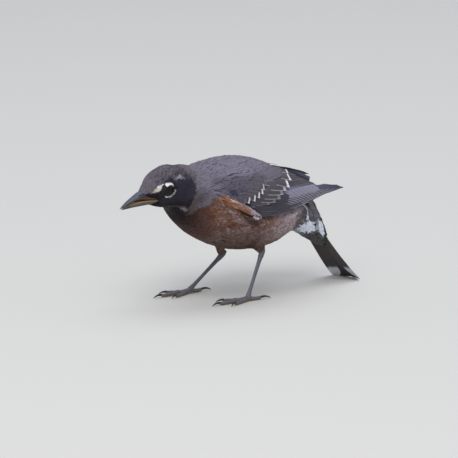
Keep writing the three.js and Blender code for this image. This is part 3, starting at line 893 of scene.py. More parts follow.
def soft_feathers(
    name, roots, lengths, widths, material, paths,
    rise=(0.2, 0.95), ragged=0.07, looks=None, point=0.35,
):
    """Short body feathers: they hug the skin, and each lies over the ones behind it.

    rise is the lift at root and tip as a share of the coat's depth; ragged is how uneven the tip
    is; looks is a tint and a fringe for each feather, or None for the bird's own markings; point
    is how far each narrows to its tip."""
    count, rows, columns = len(roots), SOFT_ROWS, SOFT_COLUMNS
    places, normals, ways = paths
    t = np.linspace(0, 1, rows)[None, :]
    half = widths[:, None] * (0.35 + 0.65 * ramp(0, 0.4, t))
    half = half * (1 - point * ramp(1.05 - point, 1.0, t))
    sides = unit(np.cross(ways, normals))
    left, _ = onto_skin(places - sides * half[..., None])
    right, _ = onto_skin(places + sides * half[..., None])
    depth = coat_depth(places[:, -1])[:, None]
    swell = 1 + chance.normal(0, LIFT_SPREAD, (count, 1))
    lift = depth * (rise[0] + (rise[1] - rise[0]) * t**0.55) * swell + forehead_loft(places)
    a = np.linspace(-1, 1, columns)[None, None, :]
    fray = chance.normal(0, ragged, (count, 1, columns)) * (1 - 0.3 * a**2)
    reach = (1 - 0.2 * np.abs(a) ** 2.4 + fray) * np.where(np.arange(columns) % 2, NOTCH, 1.0)
    shares = np.clip(t[..., None] * reach, 0, 1)
    centre_at, left_at, right_at = (read_rows(r, shares) for r in (places, left, right))
    out_at = read_rows(normals, shares)
    lift_at = read_rows(lift[..., None], shares)[..., 0]
    w = a[..., None]
    top = left_at * (w * (w - 1) / 2) + centre_at * (1 - w * w) + right_at * (w * (w + 1) / 2)
    camber = VANE_CAMBER * widths[:, None, None] * (1 - a**2) * t[..., None]
    top = top + out_at * (lift_at + camber - VANE_THIN)[..., None]
    middle = top[:, :, columns // 2]
    keel = middle - normals * blend(VANE_THICK, VANE_THIN, t)[..., None]
    drawn_in = ways[:, -1] * (0.12 * lengths)[:, None]
    keel[:, -1] = middle[:, -1] - drawn_in - normals[:, -1] * VANE_THIN
    maps = np.stack(np.broadcast_arrays((a + 1) / 2, t[..., None] * np.ones_like(reach)), axis=-1)
    obj = vanes(name, top, keel, maps, roots)
    shade = 1 + chance.normal(0, TONE_SPREAD, (count, 1))
    if looks is None:
        look = places[:, int(rows * 0.7)]
        out = normals[:, -1]
        colour, fringe, amount = plumage(look + out * coat_depth(look)[:, None], out)
        strength = np.clip(amount + chance.normal(0, FRINGE_SPREAD, count), 0, 1)
        fringe = np.concatenate([fringe, strength[:, None]], axis=1)
    else:
        colour, fringe = looks
    set_colour(obj, "tint", per_vertex(np.clip(colour * shade, 0, 1)))
    set_colour(obj, "fringe", per_vertex(fringe))
    return finish_piece(obj, material)


TUFTS = 420  # flank feathers on each side
TUFT_END = 0.64  # how far along the line their roots reach
TUFT_LOOK_ON = 0.16  # how far ahead along the line each one aims
TUFT_PULL = 0.35  # how strongly they draw together at the end
TUFT_LENGTHS, TUFT_WIDTHS = (9, 17), (0.2, 0.4)
TUFT_STRAYS = 0.06  # the share that runs on past the end
RAY_FROM, FLANK_OUT = 60.0, 28.0  # where rays to the flank start, and about where it lies


def tuft_roots(line, along, sign):
    """Places on the flank along the tufts' line, and how far above the line each one lies."""
    higher = chance.normal(-0.2, 1.5, len(along)) * (1 - 0.8 * along)
    at = curve(line, along) + np.stack([np.zeros(len(along)), higher], axis=-1)
    roots = []
    for y, z in at.tolist():
        hit, _, _, _ = SKIN_TREE.ray_cast((sign * RAY_FROM, y, z), (-sign, 0, 0))
        roots.append(hit if hit is not None else (sign * FLANK_OUT, y, z))
    return np.array(roots, float), higher


def tuft_way(places, normals):
    """Along the tufts' line, aimed past its end, so that they run out side by side."""
    onward = np.array(TUFT_LINE + [TUFT_AIM], float)
    target = np.array([0.0, *TUFT_AIM]) + places * np.array([1, 0, 0])
    _, along = away_from(places[:, 1:], onward)
    ahead_of = curve(onward, np.clip(along + TUFT_LOOK_ON, 0, 1))
    way = np.concatenate([np.zeros((len(places), 1)), ahead_of - places[:, 1:]], axis=1)
    way = unit(way) + TUFT_PULL * unit(target - places)
    return unit(way - dot(way, normals)[:, None] * normals)


def make_flank_tufts(material):
    """The long loose flank feathers that lie over the folded wing's lower front edge."""
    line, count = np.array(TUFT_LINE, float), TUFTS
    for side, sign in SIDES:
        along = np.sort(chance.random(count) ** 1.1 * TUFT_END)
        roots, higher = tuft_roots(line, along, sign)
        far = np.linalg.norm(roots[:, 1:] - line[-1], axis=1)
        stray = chance.random(count) < TUFT_STRAYS
        lengths = chance.uniform(*TUFT_LENGTHS, count)
        short = 8 * chance.random(count) ** 0.5 * (1 - stray)
        lengths = np.maximum(np.minimum(lengths, far - short - 2), 4)
        paths = lay_paths(roots, lengths, chance.normal(0, 0.07, count), way_of=tuft_way)
        widths = chance.uniform(*TUFT_WIDTHS, count) * (1 - 0.4 * ramp(0.3, TUFT_END, along))
        pale = ramp(0.4, 0.58, along + chance.normal(0, 0.06, count))
        # Those rooted higher above the line are paler too: a painted highlight along the tufts' upper
        # edge. The buff-white ends are their own colour.
        pale = np.maximum(pale, 0.75 * ramp(0.4, 2.2, higher + chance.normal(0, 0.5, count)))
        tone = ORANGE * chance.uniform(0.55, 1.25, (count, 1))
        tone = blend(tone, BUFF_WHITE, 0.85 * np.maximum(pale, stray))
        strength = np.clip(0.1 + 0.9 * ramp(0.5, 0.72, along + lengths / 38), 0, 1)
        end = np.column_stack([np.tile(BUFF_WHITE, (count, 1)), strength])
        soft_feathers(
            "tuft_" + side, roots, lengths, widths, material, paths,
            rise=(0.4, 0.95), ragged=0.12, looks=(tone, end), point=0.85,
        )


# ---- stiff feathers on the frame's own faces ----


class Sheet:
    """The outer face of a CAD node as a smooth height over a flat chart."""

    STEP = 0.8
    MARGIN = 8
    START = 90.0  # how far out the rays start
    REACH = 1.2  # half the stretch that slopes are measured over
    STEEPEST = 1.5

    def __init__(self, name, origin, along, across, out):
        self.origin, self.along, self.across, self.out = origin, along, across, out
        places, corners = node_arrays(name)
        tree = tree_of(places, corners)
        chart = np.stack([(places - origin) @ along, (places - origin) @ across], axis=-1)
        self.low = chart.min(axis=0) - self.MARGIN
        size = np.ceil((chart.max(axis=0) + self.MARGIN - self.low) / self.STEP).astype(int)
        high = np.full(size, np.nan)
        for i in range(size[0]):
            for j in range(size[1]):
                u, v = self.low + np.array([i, j]) * self.STEP
                start = origin + along * u + across * v + out * self.START
                hit, _, _, far = tree.ray_cast(start.tolist(), (-out).tolist())
                if hit is not None:
                    high[i, j] = self.START - far
        self.high = self.even(self.filled(high), 4)
        lines = self.low[0] + np.arange(size[0]) * self.STEP
        rows = [np.flatnonzero(row) for row in ~np.isnan(high)]
        self.ends = np.array([(u, r[0], r[-1]) for u, r in zip(lines, rows) if len(r)], float)
        self.ends[:, 1:] = self.low[1] + self.ends[:, 1:] * self.STEP
        for column in (1, 2):
            wide = np.pad(self.ends[:, column], 2, mode="edge")
            self.ends[:, column] = np.convolve(wide, np.full(5, 0.2), mode="valid")

    @staticmethod
    def filled(high):
        """Carries the face on past its edges."""
        high = high.copy()
        while np.isnan(high).any():
            wide = np.pad(high, 1, constant_values=np.nan)
            near = np.stack([wide[:-2, 1:-1], wide[2:, 1:-1], wide[1:-1, :-2], wide[1:-1, 2:]])
            count = (~np.isnan(near)).sum(axis=0)
            mean = np.nansum(near, axis=0) / np.maximum(count, 1)
            high = np.where(np.isnan(high) & (count > 0), mean, high)
        return high

    @staticmethod
    def even(high, rounds):
        """Smooths a grid of heights."""
        for _ in range(rounds):
            wide = np.pad(high, 1, mode="edge")
            near = wide[:-2, 1:-1] + wide[2:, 1:-1] + wide[1:-1, :-2] + wide[1:-1, 2:]
            high = 0.5 * high + 0.125 * near
        return high

    def edges_at(self, u):
        """The lowest and highest chart place across the face at u."""
        return (np.interp(u, self.ends[:, 0], self.ends[:, i]) for i in (1, 2))

    def read(self, u, v):
        """The face's height at places on the chart."""
        grid = self.high
        at = (np.stack([u, v], axis=-1) - self.low) / self.STEP
        at = np.clip(at, 0, np.array(grid.shape) - 1.001)
        i, j = at[..., 0].astype(int), at[..., 1].astype(int)
        s, t = at[..., 0] - i, at[..., 1] - j
        a = grid[i, j] * (1 - t) + grid[i, j + 1] * t
        b = grid[i + 1, j] * (1 - t) + grid[i + 1, j + 1] * t
        return a * (1 - s) + b * s

    def slope(self, low, high):
        rise = (self.read(*high) - self.read(*low)) / (2 * self.REACH)
        return np.clip(rise, -self.STEEPEST, self.STEEPEST)[..., None]

    def place(self, u, v, lift):
        """Places on the chart raised lift above the face."""
        h, d = self.read(u, v)[..., None], self.REACH
        lean_u = self.along * self.slope((u - d, v), (u + d, v))
        lean_v = self.across * self.slope((u, v - d), (u, v + d))
        out = unit(self.out - lean_u - lean_v)
        base = self.origin + self.along * u[..., None] + self.across * v[..., None] + self.out * h
        return base + out * lift[..., None]


STIFF_COLUMNS = 9
WEB_WAVE = 0.05  # unevenness of the webs' edges
EDGE_DROP = 0.07  # how far the webs' edges bend down
SHAFT_HIGH, SHAFT_HALF = 0.08, 0.13  # the shaft's height, and its half width as a share of a web
WEB_THICK, WEB_THIN = 0.16, 0.05
FLOOR_GAP = 0.12  # what touches the ground is kept this far above it


def stiff_feathers(name, sheet, feathers, material, nodes=(), rows=22, chart=None):
    """Long feathers laid on a sheet. Each is a dict: start and tip of its outer edge on the chart,
    bow of that edge, outer and inner web widths, lift at the tip, dive at the root, where it
    starts to taper and how bluntly, which way across its outer web faces, and its colours."""
    count, columns = len(feathers), STIFF_COLUMNS

    def each(key):
        return np.array([f[key] for f in feathers], float)

    def of(key):
        return each(key)[:, None]

    start, tip, facing = each("start"), each("tip"), each("facing")
    way = unit(tip - start)
    outward = np.stack([-way[:, 1], way[:, 0]], axis=-1) * facing[:, None]
    t = 1 - (1 - np.linspace(0, 1, rows)) ** 1.5
    line = start[:, None] + (tip - start)[:, None] * t[None, :, None]
    line = line + outward[:, None] * (of("bow") * 4 * t * (1 - t))[..., None]
    taper, blunt = of("taper"), of("blunt")
    past = np.clip((t - taper) / (1 - taper), 0, 1)
    rounded = (1 - past**blunt) ** 0.6
    outer_web = of("outer") * ramp(-0.02, 0.1, t) * rounded
    thin = np.clip((t - 0.5 * taper) / (1 - 0.5 * taper), 0, 1)
    narrow = 1 - of("narrow") * thin
    inner_web = of("inner") * ramp(-0.02, 0.12, t) * narrow * rounded
    a = np.linspace(-1, 1, columns)
    spine = line - outward[:, None] * outer_web[..., None]
    reach = np.where(a < 0, -a * outer_web[..., None], -a * inner_web[..., None])
    wave = chance.normal(0, WEB_WAVE, (count, rows, columns)) * np.abs(a) ** 3
    spots = spine[:, :, None] + outward[:, None, None] * (reach + wave)[..., None]
    rise = of("lift") - of("dive") * (1 - ramp(0.1, of("clear"), t))
    lift = rise[..., None] - EDGE_DROP * np.abs(a) ** 3 * ramp(0, 0.3, t)[None, :, None]
    shaft = SHAFT_HIGH * np.exp(-((a / SHAFT_HALF) ** 2))
    u, v = spots[..., 0], spots[..., 1]
    if chart is not None:
        u, v = chart(u, v)
    top = sheet.place(u, v, lift + shaft)
    thick = WEB_THICK * (1 - np.abs(a[1:-1]) ** 3) + WEB_THIN
    under = sheet.place(u[:, :, 1:-1], v[:, :, 1:-1], lift[:, :, 1:-1] - thick)
    for grid in (top, under):
        grid[..., 2] = np.maximum(grid[..., 2], FLOOR_GAP + 0.1 * ramp(2, 0, grid[..., 2]))
    handed = np.sign(np.dot(np.cross(sheet.along, sheet.out), sheet.across)) * facing
    maps = np.stack(np.broadcast_arrays((a + 1) / 2, t[None, :, None], lift), axis=-1)[..., :2]
    # The outer web is column 0; it has to lie on the left, seen from outside.
    turned = handed > 0
    top[turned], under[turned] = top[turned][:, :, ::-1], under[turned][:, :, ::-1]
    maps = maps.copy()
    maps[turned] = maps[turned][:, :, ::-1]
    places = np.concatenate([top, under[:, :, ::-1]], axis=2)
    spots = np.concatenate([maps, maps[:, :, -2:0:-1]], axis=2).reshape(-1, 2)
    ring = 2 * columns - 2
    loops, sizes, smooth = vane_faces(count, rows, columns, ring)
    obj = mesh_object(name, places.reshape(-1, 3), loops, sizes, smooth)
    # Each large feather has a strip of the map to itself.
    strip = np.repeat(np.arange(count), rows * ring) + 0.08 + 0.84 * spots[:, 0]
    baked = np.stack([MAP_WIDE * spots[:, 1], MAP_WIDE / count * strip], axis=-1)
    set_vane_maps(obj, spots, MAP_RIM + baked)
    for label in ("tint", "edge", "mark"):
        set_colour(obj, label, np.repeat(each(label), rows * ring, axis=0))
    return finish_piece(obj, material, nodes)


def colour_with(colour, strength):
    return np.append(colour, strength)


def feather(start, tip, outer, inner, lift, tint, edge, mark=None, **shape):
    """One entry for stiff_feathers. edge and mark are a colour and its strength."""
    made = dict(dive=1.4, clear=0.55, bow=0.0, taper=0.8, blunt=2.0, narrow=0.0, facing=-1)
    made.update(shape, start=start, tip=tip, outer=outer, inner=inner, lift=lift)
    # The tint's fourth channel is the outer web's width in centimetres.
    made["tint"] = colour_with(tint * (1 + chance.normal(0, 0.05)), outer / 10)
    made["edge"] = colour_with(*edge)
    made["mark"] = colour_with(*(mark or (tint, 0)))
    return made


# ---- node tools ----


class Graph:
    """Adds nodes to the tree of one material or group."""

    def __init__(self, tree):
        self.tree = tree

    def node(self, kind, inputs=(), **settings):
        """The outputs of a new node, with its settings and its inputs, plain or linked."""
        made = self.tree.nodes.new("ShaderNode" + kind)
        for key, value in settings.items():
            setattr(made, key, value)
        for key, value in dict(inputs).items():
            if isinstance(value, bpy.types.NodeSocket):
                self.tree.links.new(value, made.inputs[key])
            else:
                made.inputs[key].default_value = value
        return made.outputs

    def maths(self, operation, *values):
        return self.node("Math", dict(enumerate(values)), operation=operation)[0]

    def times(self, a, b):
        return self.maths("MULTIPLY", a, b)

    def plus(self, a, b):
        return self.maths("ADD", a, b)

    def minus(self, a, b):
        return self.maths("SUBTRACT", a, b)

    def fade(self, value, low, high):
        """A smooth step from 0 at low to 1 at high."""
        inputs = {0: value, 1: low, 2: high}
        return self.node("MapRange", inputs, interpolation_type="SMOOTHSTEP")[0]

    def mixed(self, share, a, b, how="MIX"):
        return self.node("Mix", {0: share, 6: a, 7: b}, data_type="RGBA", blend_type=how)[2]

    def tinged(self, colour, gain):
        """A colour multiplied by a gain for red, green and blue."""
        return self.mixed(1.0, colour, (*gain, 1), "MULTIPLY")

    def noise(self, vector, scale, detail, roughness=0.5):
        inputs = {"Vector": vector, "Scale": scale, "Detail": detail, "Roughness": roughness}
        return self.node("TexNoise", inputs)[0]

    def attribute(self, name):
        return self.node("Attribute", attribute_name=name)

    def uv(self, name):
        return self.node("UVMap", uv_map=name)[0]

    def split(self, vector):
        return self.node("SeparateXYZ", {0: vector})

    def run_grain(self, stretch, scale, detail, roughness=0.5):
        """Noise drawn out along a form's own map."""
        place = self.node("Mapping", {"Vector": self.uv("run"), "Scale": (*stretch, 1.0)})[0]
        return self.noise(place, scale, detail, roughness)


class Finish(Graph):
    """A material's graph. The Principled BSDF's plain constants are set on its own sockets."""

    def __init__(self, name, **constants):
        self.material = bpy.data.materials.new(name)
        self.material.use_nodes = True
        super().__init__(self.material.node_tree)
        self.shader = self.tree.nodes["Principled BSDF"]
        for label, value in constants.items():
            self.shader.inputs[label.replace("_", " ")].default_value = value

    def feed(self, label, socket):
        self.tree.links.new(socket, self.shader.inputs[label])

    def mottled(self, colour, scale, amount):
        inputs = {"Colour": colour, "Scale": scale, "Amount": amount}
        return self.node("Group", inputs, node_tree=MOTTLE)

    def vane(self, barbs, slant):
        """A feather's barbs, and the share across and along its vane."""
        vane = self.uv("vane")
        inputs = {"Vane": vane, "Barbs": barbs, "Slant": slant}
        across, along, _ = self.split(vane)
        return self.node("Group", inputs, node_tree=BARBS), across, along

    def bump(self, height, strength, distance):
        inputs = {"Height": height, "Strength": strength, "Distance": distance}
        self.feed("Normal", self.node("Bump", inputs)[0])


def new_group(name, inputs, outputs):
    """A shader group with named sockets: its graph, its inputs, and where its outputs go."""
    group = bpy.data.node_groups.new(name, "ShaderNodeTree")
    for label, kind, value in inputs:
        socket = group.interface.new_socket(label, in_out="INPUT", socket_type="NodeSocket" + kind)
        socket.default_value = value
    for label, kind in outputs:
        group.interface.new_socket(label, in_out="OUTPUT", socket_type="NodeSocket" + kind)
    inside = group.nodes.new("NodeGroupInput").outputs
    return Graph(group), inside, group.nodes.new("NodeGroupOutput").inputs


# ---- shared effects ----


def make_barbs():
    """Fine barbs that leave a feather's shaft aslant, with the odd gap where they part."""
    graph, inside, out = new_group(
        "barbs",
        [("Vane", "Vector", (0, 0, 0)), ("Barbs", "Float", 40.0), ("Slant", "Float", 0.8)],
        [("Height", "Float"), ("Parting", "Float"), ("Shaft", "Float")],
    )
    across, along, _ = graph.split(inside["Vane"])
    away = graph.maths("ABSOLUTE", graph.minus(across, 0.5))
    line = graph.minus(along, graph.times(away, inside["Slant"]))
    wave = graph.maths("SINE", graph.times(line, graph.times(inside["Barbs"], 2 * math.pi)))
    spot = graph.node("CombineXYZ", {0: graph.times(away, 3.0), 1: line})[0]
    rough = graph.noise(spot, 22.0, 3.0, 0.6)
    shaft = graph.fade(away, 0.035, 0.012)
    height = graph.plus(graph.plus(graph.times(wave, 0.25), rough), graph.times(shaft, 0.8))
    graph.tree.links.new(height, out["Height"])
    graph.tree.links.new(graph.fade(rough, 0.6, 0.72), out["Parting"])
    graph.tree.links.new(shaft, out["Shaft"])
    return graph.tree


def make_mottle():
    """Uneven colour over a surface, from blotches down to specks."""
    graph, inside, out = new_group(
        "mottle",
        [("Colour", "Color", (0.5, 0.5, 0.5, 1)), ("Scale", "Float", 400.0), ("Amount", "Float", 0.2)],
        [("Colour", "Color"), ("Mask", "Float")],
    )
    noise = graph.noise(graph.node("TexCoord")["Object"], inside["Scale"], 4.0, 0.65)
    lean = graph.times(graph.minus(noise, 0.5), graph.times(inside["Amount"], 2.0))
    gain = graph.plus(lean, 1.0)
    tone = graph.node("CombineColor", {0: gain, 1: gain, 2: gain})[0]
    colour = graph.mixed(1.0, inside["Colour"], tone, "MULTIPLY")
    graph.tree.links.new(colour, out["Colour"])
    graph.tree.links.new(noise, out["Mask"])
    return graph.tree


BARBS = make_barbs()
MOTTLE = make_mottle()


def soft_vane_material():
    """Loose body feathers: the tint, paler towards a frayed fringe."""
    made = Finish(
        "soft_vane", Roughness=0.72, Specular_IOR_Level=0.12, Sheen_Weight=0.03, Sheen_Roughness=0.6
    )
    barbs, across, along = made.vane(26.0, 0.9)
    tint, fringe = made.attribute("tint"), made.attribute("fringe")
    edge = made.times(made.maths("ABSOLUTE", made.minus(across, 0.5)), 0.35)
    wander = made.times(made.minus(barbs["Height"], 0.5), 0.35)
    share = made.fade(made.plus(made.plus(along, edge), wander), 0.72, 1.02)
    colour = made.mixed(made.times(share, fringe["Alpha"]), tint["Color"], fringe["Color"])
    dark = made.tinged(colour, (0.62, 0.6, 0.6))
    colour = made.mixed(made.times(barbs["Parting"], 0.5), colour, dark)
    made.feed("Base Color", made.mottled(colour, 900.0, 0.22)["Colour"])
    made.bump(barbs["Height"], 0.35, 0.0002)
    return made.material


def skin_material():
    """Bare skin and down between the feathers, in the plumage's own markings, darker."""
    made = Finish("skin_down", Roughness=0.85, Specular_IOR_Level=0.2)
    down = made.tinged(made.attribute("tint")["Color"], (0.55, 0.53, 0.53))
    toned = made.mottled(down, 700.0, 0.35)
    made.feed("Base Color", toned["Colour"])
    made.bump(toned["Mask"], 0.5, 0.0004)
    return made.material


# ---- skin and coat ----

FACE_FRONT = [(-9, 11), (-4, 15.5), (-1.5, 18.6), (0.3, 19.2), (1.2, 17.0), (3.5, 15.6)]  # up, ahead
WING_LOW = [(-36, 75), (-24, 70.5), (-9, 62.5), (6, 59.5), (60, 59)]  # the wing's lower edge, as [y, z]


def make_skin():
    count = len(SKIN_QUADS)
    sizes, smooth = np.full(count, 4), np.ones(count, bool)
    obj = mesh_object("skin", SKIN_PLACES, SKIN_QUADS.ravel(), sizes, smooth)
    over = SKIN_PLACES + SKIN_NORMALS * coat_depth(SKIN_PLACES)[:, None]
    colour, _, _ = plumage(over, SKIN_NORMALS)
    set_colour(obj, "tint", colour)
    return finish_piece(obj, skin_material(), FLESH)


def wing_part(points):
    """Which places lie on the folded wings' own flesh."""
    y, z = points[:, 1], points[:, 2]
    low = np.interp(y, *np.array(WING_LOW).T)
    return (np.abs(points[:, 0]) > 12) & (z > low) & (y > -34)


def bare_bill(ahead, up):
    """Which places are on the bill's bare sides or past its base."""
    edge = bill_line(UPPER_BILL, LOWER_LINE, ahead)
    chin = bill_line(LOWER_BILL, LOWER_LINE, ahead)
    side = (ahead > 6.6) & (up < edge + 0.5) & (up > chin + 0.9)
    base = ahead > np.interp(up, *np.array(FACE_FRONT).T)
    return side | base


# Bounds of the coat's regions: ahead of the eyes on the head, along y and z on the body.
FACE_END, CHEEKS_END, NAPE_END = 1, -12, -24
HIGH_FROM, MANTLE_END, BREAST_END, RUMP_FROM = 72, -20, 2, 38
EYE_BARE, EYE_BARE_TIP = 1.25, 1.0  # no root, and no tip, is nearer than this to the eye's rim
WING_BARE_FROM = 20  # behind this the wing has only its laid feathers
LEG_BELOW, LEG_END = 30, 23.5  # the leg's feathers start below the one and stop above the other


def make_contour_coat():
    """All small feathers, sorted into pieces by region."""
    roots = scatter()
    lengths = feather_length(roots) * (1 + chance.normal(0, 0.08, len(roots)))
    turns = chance.normal(0, 0.09, len(roots))
    places, normals, ways = lay_paths(roots, lengths, turns)
    ahead, up, left = from_head(roots)
    tips = places[:, -1]
    t_ahead, t_up, t_left = from_head(tips)
    _, rim = round_eye(ahead, up)
    _, tip_rim = round_eye(t_ahead, t_up)
    keep = ~((rim < EYE_BARE) & (np.abs(left) > 4))
    keep &= ~((tip_rim < EYE_BARE_TIP) & (np.abs(t_left) > 4) & (np.abs(t_ahead) < 8))
    # Nothing grows on the bill, inside the mouth, or on the wing past its coverts.
    keep &= ~bare_bill(ahead, up) & ~bare_bill(t_ahead, t_up)
    on_wing = wing_part(roots)
    past = within(tips[:, 1:], COVER_EDGE + [(36, 100), (-60, 100), (-60, 70)])
    keep &= ~(on_wing & (past < -0.3))
    keep &= ~(on_wing & (roots[:, 1] > WING_BARE_FROM))
    legs = (roots[:, 2] < LEG_BELOW) & (roots[:, 1] < 28)
    keep &= ~(legs & (tips[:, 2] < LEG_END))
    material = soft_vane_material()
    widths = feather_width(roots) * (1 + chance.normal(0, 0.1, len(roots)))
    body, high = ahead <= NAPE_END, roots[:, 2] > HIGH_FROM
    y = roots[:, 1]
    mantle, breast, rump = y < MANTLE_END, y < BREAST_END, y > RUMP_FROM
    low, lefts = body & ~high, roots[:, 0] > 0
    dark, light = "dark_plumage", "breast_plumage"
    grow = {
        "coat_face": (ahead > FACE_END, dark),
        "coat_cheeks": ((ahead <= FACE_END) & (ahead > CHEEKS_END), dark),
        "coat_nape": ((ahead <= CHEEKS_END) & ~body, dark),
        "coat_mantle": (body & high & mantle, dark),
        "coat_back": (body & high & ~mantle & ~rump, dark),
        "coat_breast_left": (low & breast & lefts, light),
        "coat_breast_right": (low & breast & ~lefts, light),
        "coat_flank_left": (low & ~breast & ~rump & lefts, light),
        "coat_flank_right": (low & ~breast & ~rump & ~lefts, light),
        "coat_rump": (body & rump, light),
    }
    for name, (where, slot) in grow.items():
        pick = keep & where
        paths = (places[pick], normals[pick], ways[pick])
        soft_feathers(name, roots[pick], lengths[pick], widths[pick], material, paths)
    make_flank_tufts(material)


# ---- smooth forms ----


def new_form():
    bm = bmesh.new()
    bm.verts.layers.float_color.new("tint")
    bm.loops.layers.uv.new("run")
    return bm


def add_form(bm, place, tint, long, around):
    """Adds a grid of long by around faces, moved into shape by place(u, v) and welded shut."""
    made = bmesh.ops.create_grid(bm, x_segments=long, y_segments=around, size=0.5)["verts"]
    flat = np.array([v.co[:2] for v in made]) + 0.5
    places = place(flat[:, 0], flat[:, 1])
    colours = tint(flat[:, 0], flat[:, 1], places)
    layer, uv = bm.verts.layers.float_color["tint"], bm.loops.layers.uv["run"]
    for vert, spot, colour, share in zip(made, places * MM, colours, flat):
        vert.co = spot
        vert[layer] = (*colour, 1)
        for loop in vert.link_loops:
            loop[uv].uv = share
    bmesh.ops.remove_doubles(bm, verts=made, dist=3e-6)


def finish_form(bm, name, material, nodes):
    bmesh.ops.dissolve_degenerate(bm, edges=bm.edges, dist=1e-7)
    bmesh.ops.recalc_face_normals(bm, faces=bm.faces)
    for face in bm.faces:
        face.smooth = True
    mesh = bpy.data.meshes.new(name)
    bm.to_mesh(mesh)
    bm.free()
    return finish_piece(put(name, mesh), material, nodes)


def one_form(name, material, nodes, place, tint, long, around):
    bm = new_form()
    add_form(bm, place, tint, long, around)
    finish_form(bm, name, material, nodes)


def inside_ends(u):
    """False at a form's two ends, where its rings close to a point."""
    return (u > 1e-6) & (u < 1 - 1e-6)


def tube(line, radii, flat=1.0, over=(0.0, 0.0, 1.0)):
    """place(u, v) for a closed tube along a smooth line of points, with radii at the same points."""
    line, radii = np.array(line, float), np.array(radii, float)[:, None]

    def place(u, v):
        centre = curve(line, u)
        way = unit(curve(line, u + 0.004) - curve(line, u - 0.004))
        side = unit(np.cross(way, over))
        up = np.cross(side, way)
        size = np.maximum(curve(radii, u), 0) * inside_ends(u)[:, None]
        turn = 2 * math.pi * v[:, None]
        return centre + size * (side * np.cos(turn) * flat + up * np.sin(turn))

    return place


# ---- eyes and lids ----

IRIS = paint(26, 18, 16)
PUPIL = paint(10, 9, 10)
LID = paint(34, 31, 34)
LID_WHITE = paint(232, 232, 232)
EYE_ROUND = 4.5  # the ball's radius; its front is a little flatter
EYE_FLAT = 0.96
LID_RIDGES = 90
LID_TOP = 0.62  # the share of a lid's section that is its outer face
LID_DEEP = 0.75  # how far its inner face hangs in
LID_FOLD_AT, LID_FOLD, LID_FOLD_HIGH = 1.1, 0.12, 0.55  # the fold round the opening
LID_OUTER_HIGH = 0.35
LID_RAY_FROM, FACE_OUT = 30.0, 6  # where rays to the face start, and about where it lies
LID_SPREAD = (0.95, 1.0, 1.05, 1.18, 1.42, 1.66)  # shares of the opening, from its edge outwards


def eye_material():
    made = Finish(
        "eye_ball", Roughness=0.1, Specular_IOR_Level=0.1, Coat_Weight=0.35, Coat_Roughness=0.02
    )
    tint = made.attribute("tint")["Color"]
    made.feed("Base Color", made.mottled(tint, 1800.0, 0.3)["Colour"])
    return made.material


def make_eye(side, sign, material):
    node = "eye_" + side
    centre = middle_of(node)
    gaze = HEAD_LEFT * sign

    def place(u, v):
        across, turn = math.pi * u, 2 * math.pi * v
        ring = np.sin(across)
        reach = np.stack([np.cos(across) * EYE_FLAT, ring * np.cos(turn), ring * np.sin(turn)])
        axes = np.stack([gaze, HEAD_AHEAD, HEAD_UP])
        return centre + EYE_ROUND * reach.T @ axes

    def tint(u, v, places):
        angle = np.degrees(math.pi * u)
        colour = between(PUPIL, IRIS, ramp(30, 35, angle))
        return blend(colour, PUPIL, ramp(50, 62, angle))

    one_form("ball_" + side, material, [node], place, tint, 40, 48)


def lid_material():
    """Bare skin with fine ridges across the lids."""
    made = Finish("lid_skin", Roughness=0.7, Specular_IOR_Level=0.3)
    ridges = made.times(made.split(made.uv("run"))[0], 2 * math.pi * LID_RIDGES)
    toned = made.mottled(made.attribute("tint")["Color"], 2600.0, 0.25)
    made.feed("Base Color", toned["Colour"])
    height = made.plus(made.times(made.maths("SINE", ridges), 0.5), toned["Mask"])
    made.bump(height, 0.3, 0.00015)
    return made.material


def on_lid(angle, share, sign):
    """A place round the eye at a share of its opening, lying on the ball and then on the face."""
    ahead = EYE_OPEN_AT[0] + EYE_LONG * share * np.cos(angle)
    up = EYE_OPEN_AT[1] + EYE_TALL * share * np.sin(angle)
    far = np.hypot(ahead, up)
    ball = dot(middle_of("eye_left") - HEAD_AT, HEAD_LEFT)
    ball = ball + np.sqrt(np.maximum(EYE_ROUND**2 - far**2, 1.2)) * 0.97
    face = np.empty_like(ball)
    starts = on_head(ahead, up, np.full_like(ahead, LID_RAY_FROM * sign))
    for i, start in enumerate(starts.tolist()):
        hit, _, _, away = SKIN_TREE.ray_cast(start, (-HEAD_LEFT * sign).tolist())
        face[i] = LID_RAY_FROM - away if hit is not None else FACE_OUT
    left = blend(ball + 0.12, face, ramp(1.02, 1.5, share))
    left = left + LID_FOLD_HIGH * np.exp(-(((share - LID_FOLD_AT) / LID_FOLD) ** 2))
    left = left + LID_OUTER_HIGH * ramp(1.1, 1.3, share) * ramp(1.62, 1.4, share)
    return ahead, up, left


def make_lids(side, sign, material):
    spread = np.array(LID_SPREAD)

    def place(u, v):
        angle = 2 * math.pi * u
        over = np.clip(v / LID_TOP, 0, 1)
        under = np.clip((1 - v) / (1 - LID_TOP), 0, 1)
        top = v <= LID_TOP
        outer = np.interp(over * (len(spread) - 1), np.arange(len(spread)), spread)
        share = np.where(top, outer, spread[0] + (spread[-1] - spread[0]) * under)
        ahead, up, left = on_lid(angle, share, sign)
        left = left - np.where(top, 0, LID_DEEP * np.sin(math.pi * under))
        return on_head(ahead, up, left * sign)

    def tint(u, v, places):
        ahead, up, _ = from_head(places)
        _, rim = round_eye(ahead, up)
        dark = between(LID, LID * 0.5, ramp(0.35, 0.0, rim))
        return blend(dark, LID_WHITE, eye_ring(ahead, up))

    one_form("lids_" + side, material, [], place, tint, 96, 22)


# ---- bill ----

HORN = paint(64, 67, 88)
HORN_DARK = paint(38, 36, 42)
HORN_EDGE = paint(150, 122, 78)
HORN_YELLOW = paint(88, 72, 54)
# The mouth's skin: its own orange-brown, painted darker as the shade inside the gape.
MOUTH_SHADED = paint(112, 66, 38)
NOSTRIL = (18.2, 0.55)  # ahead and up
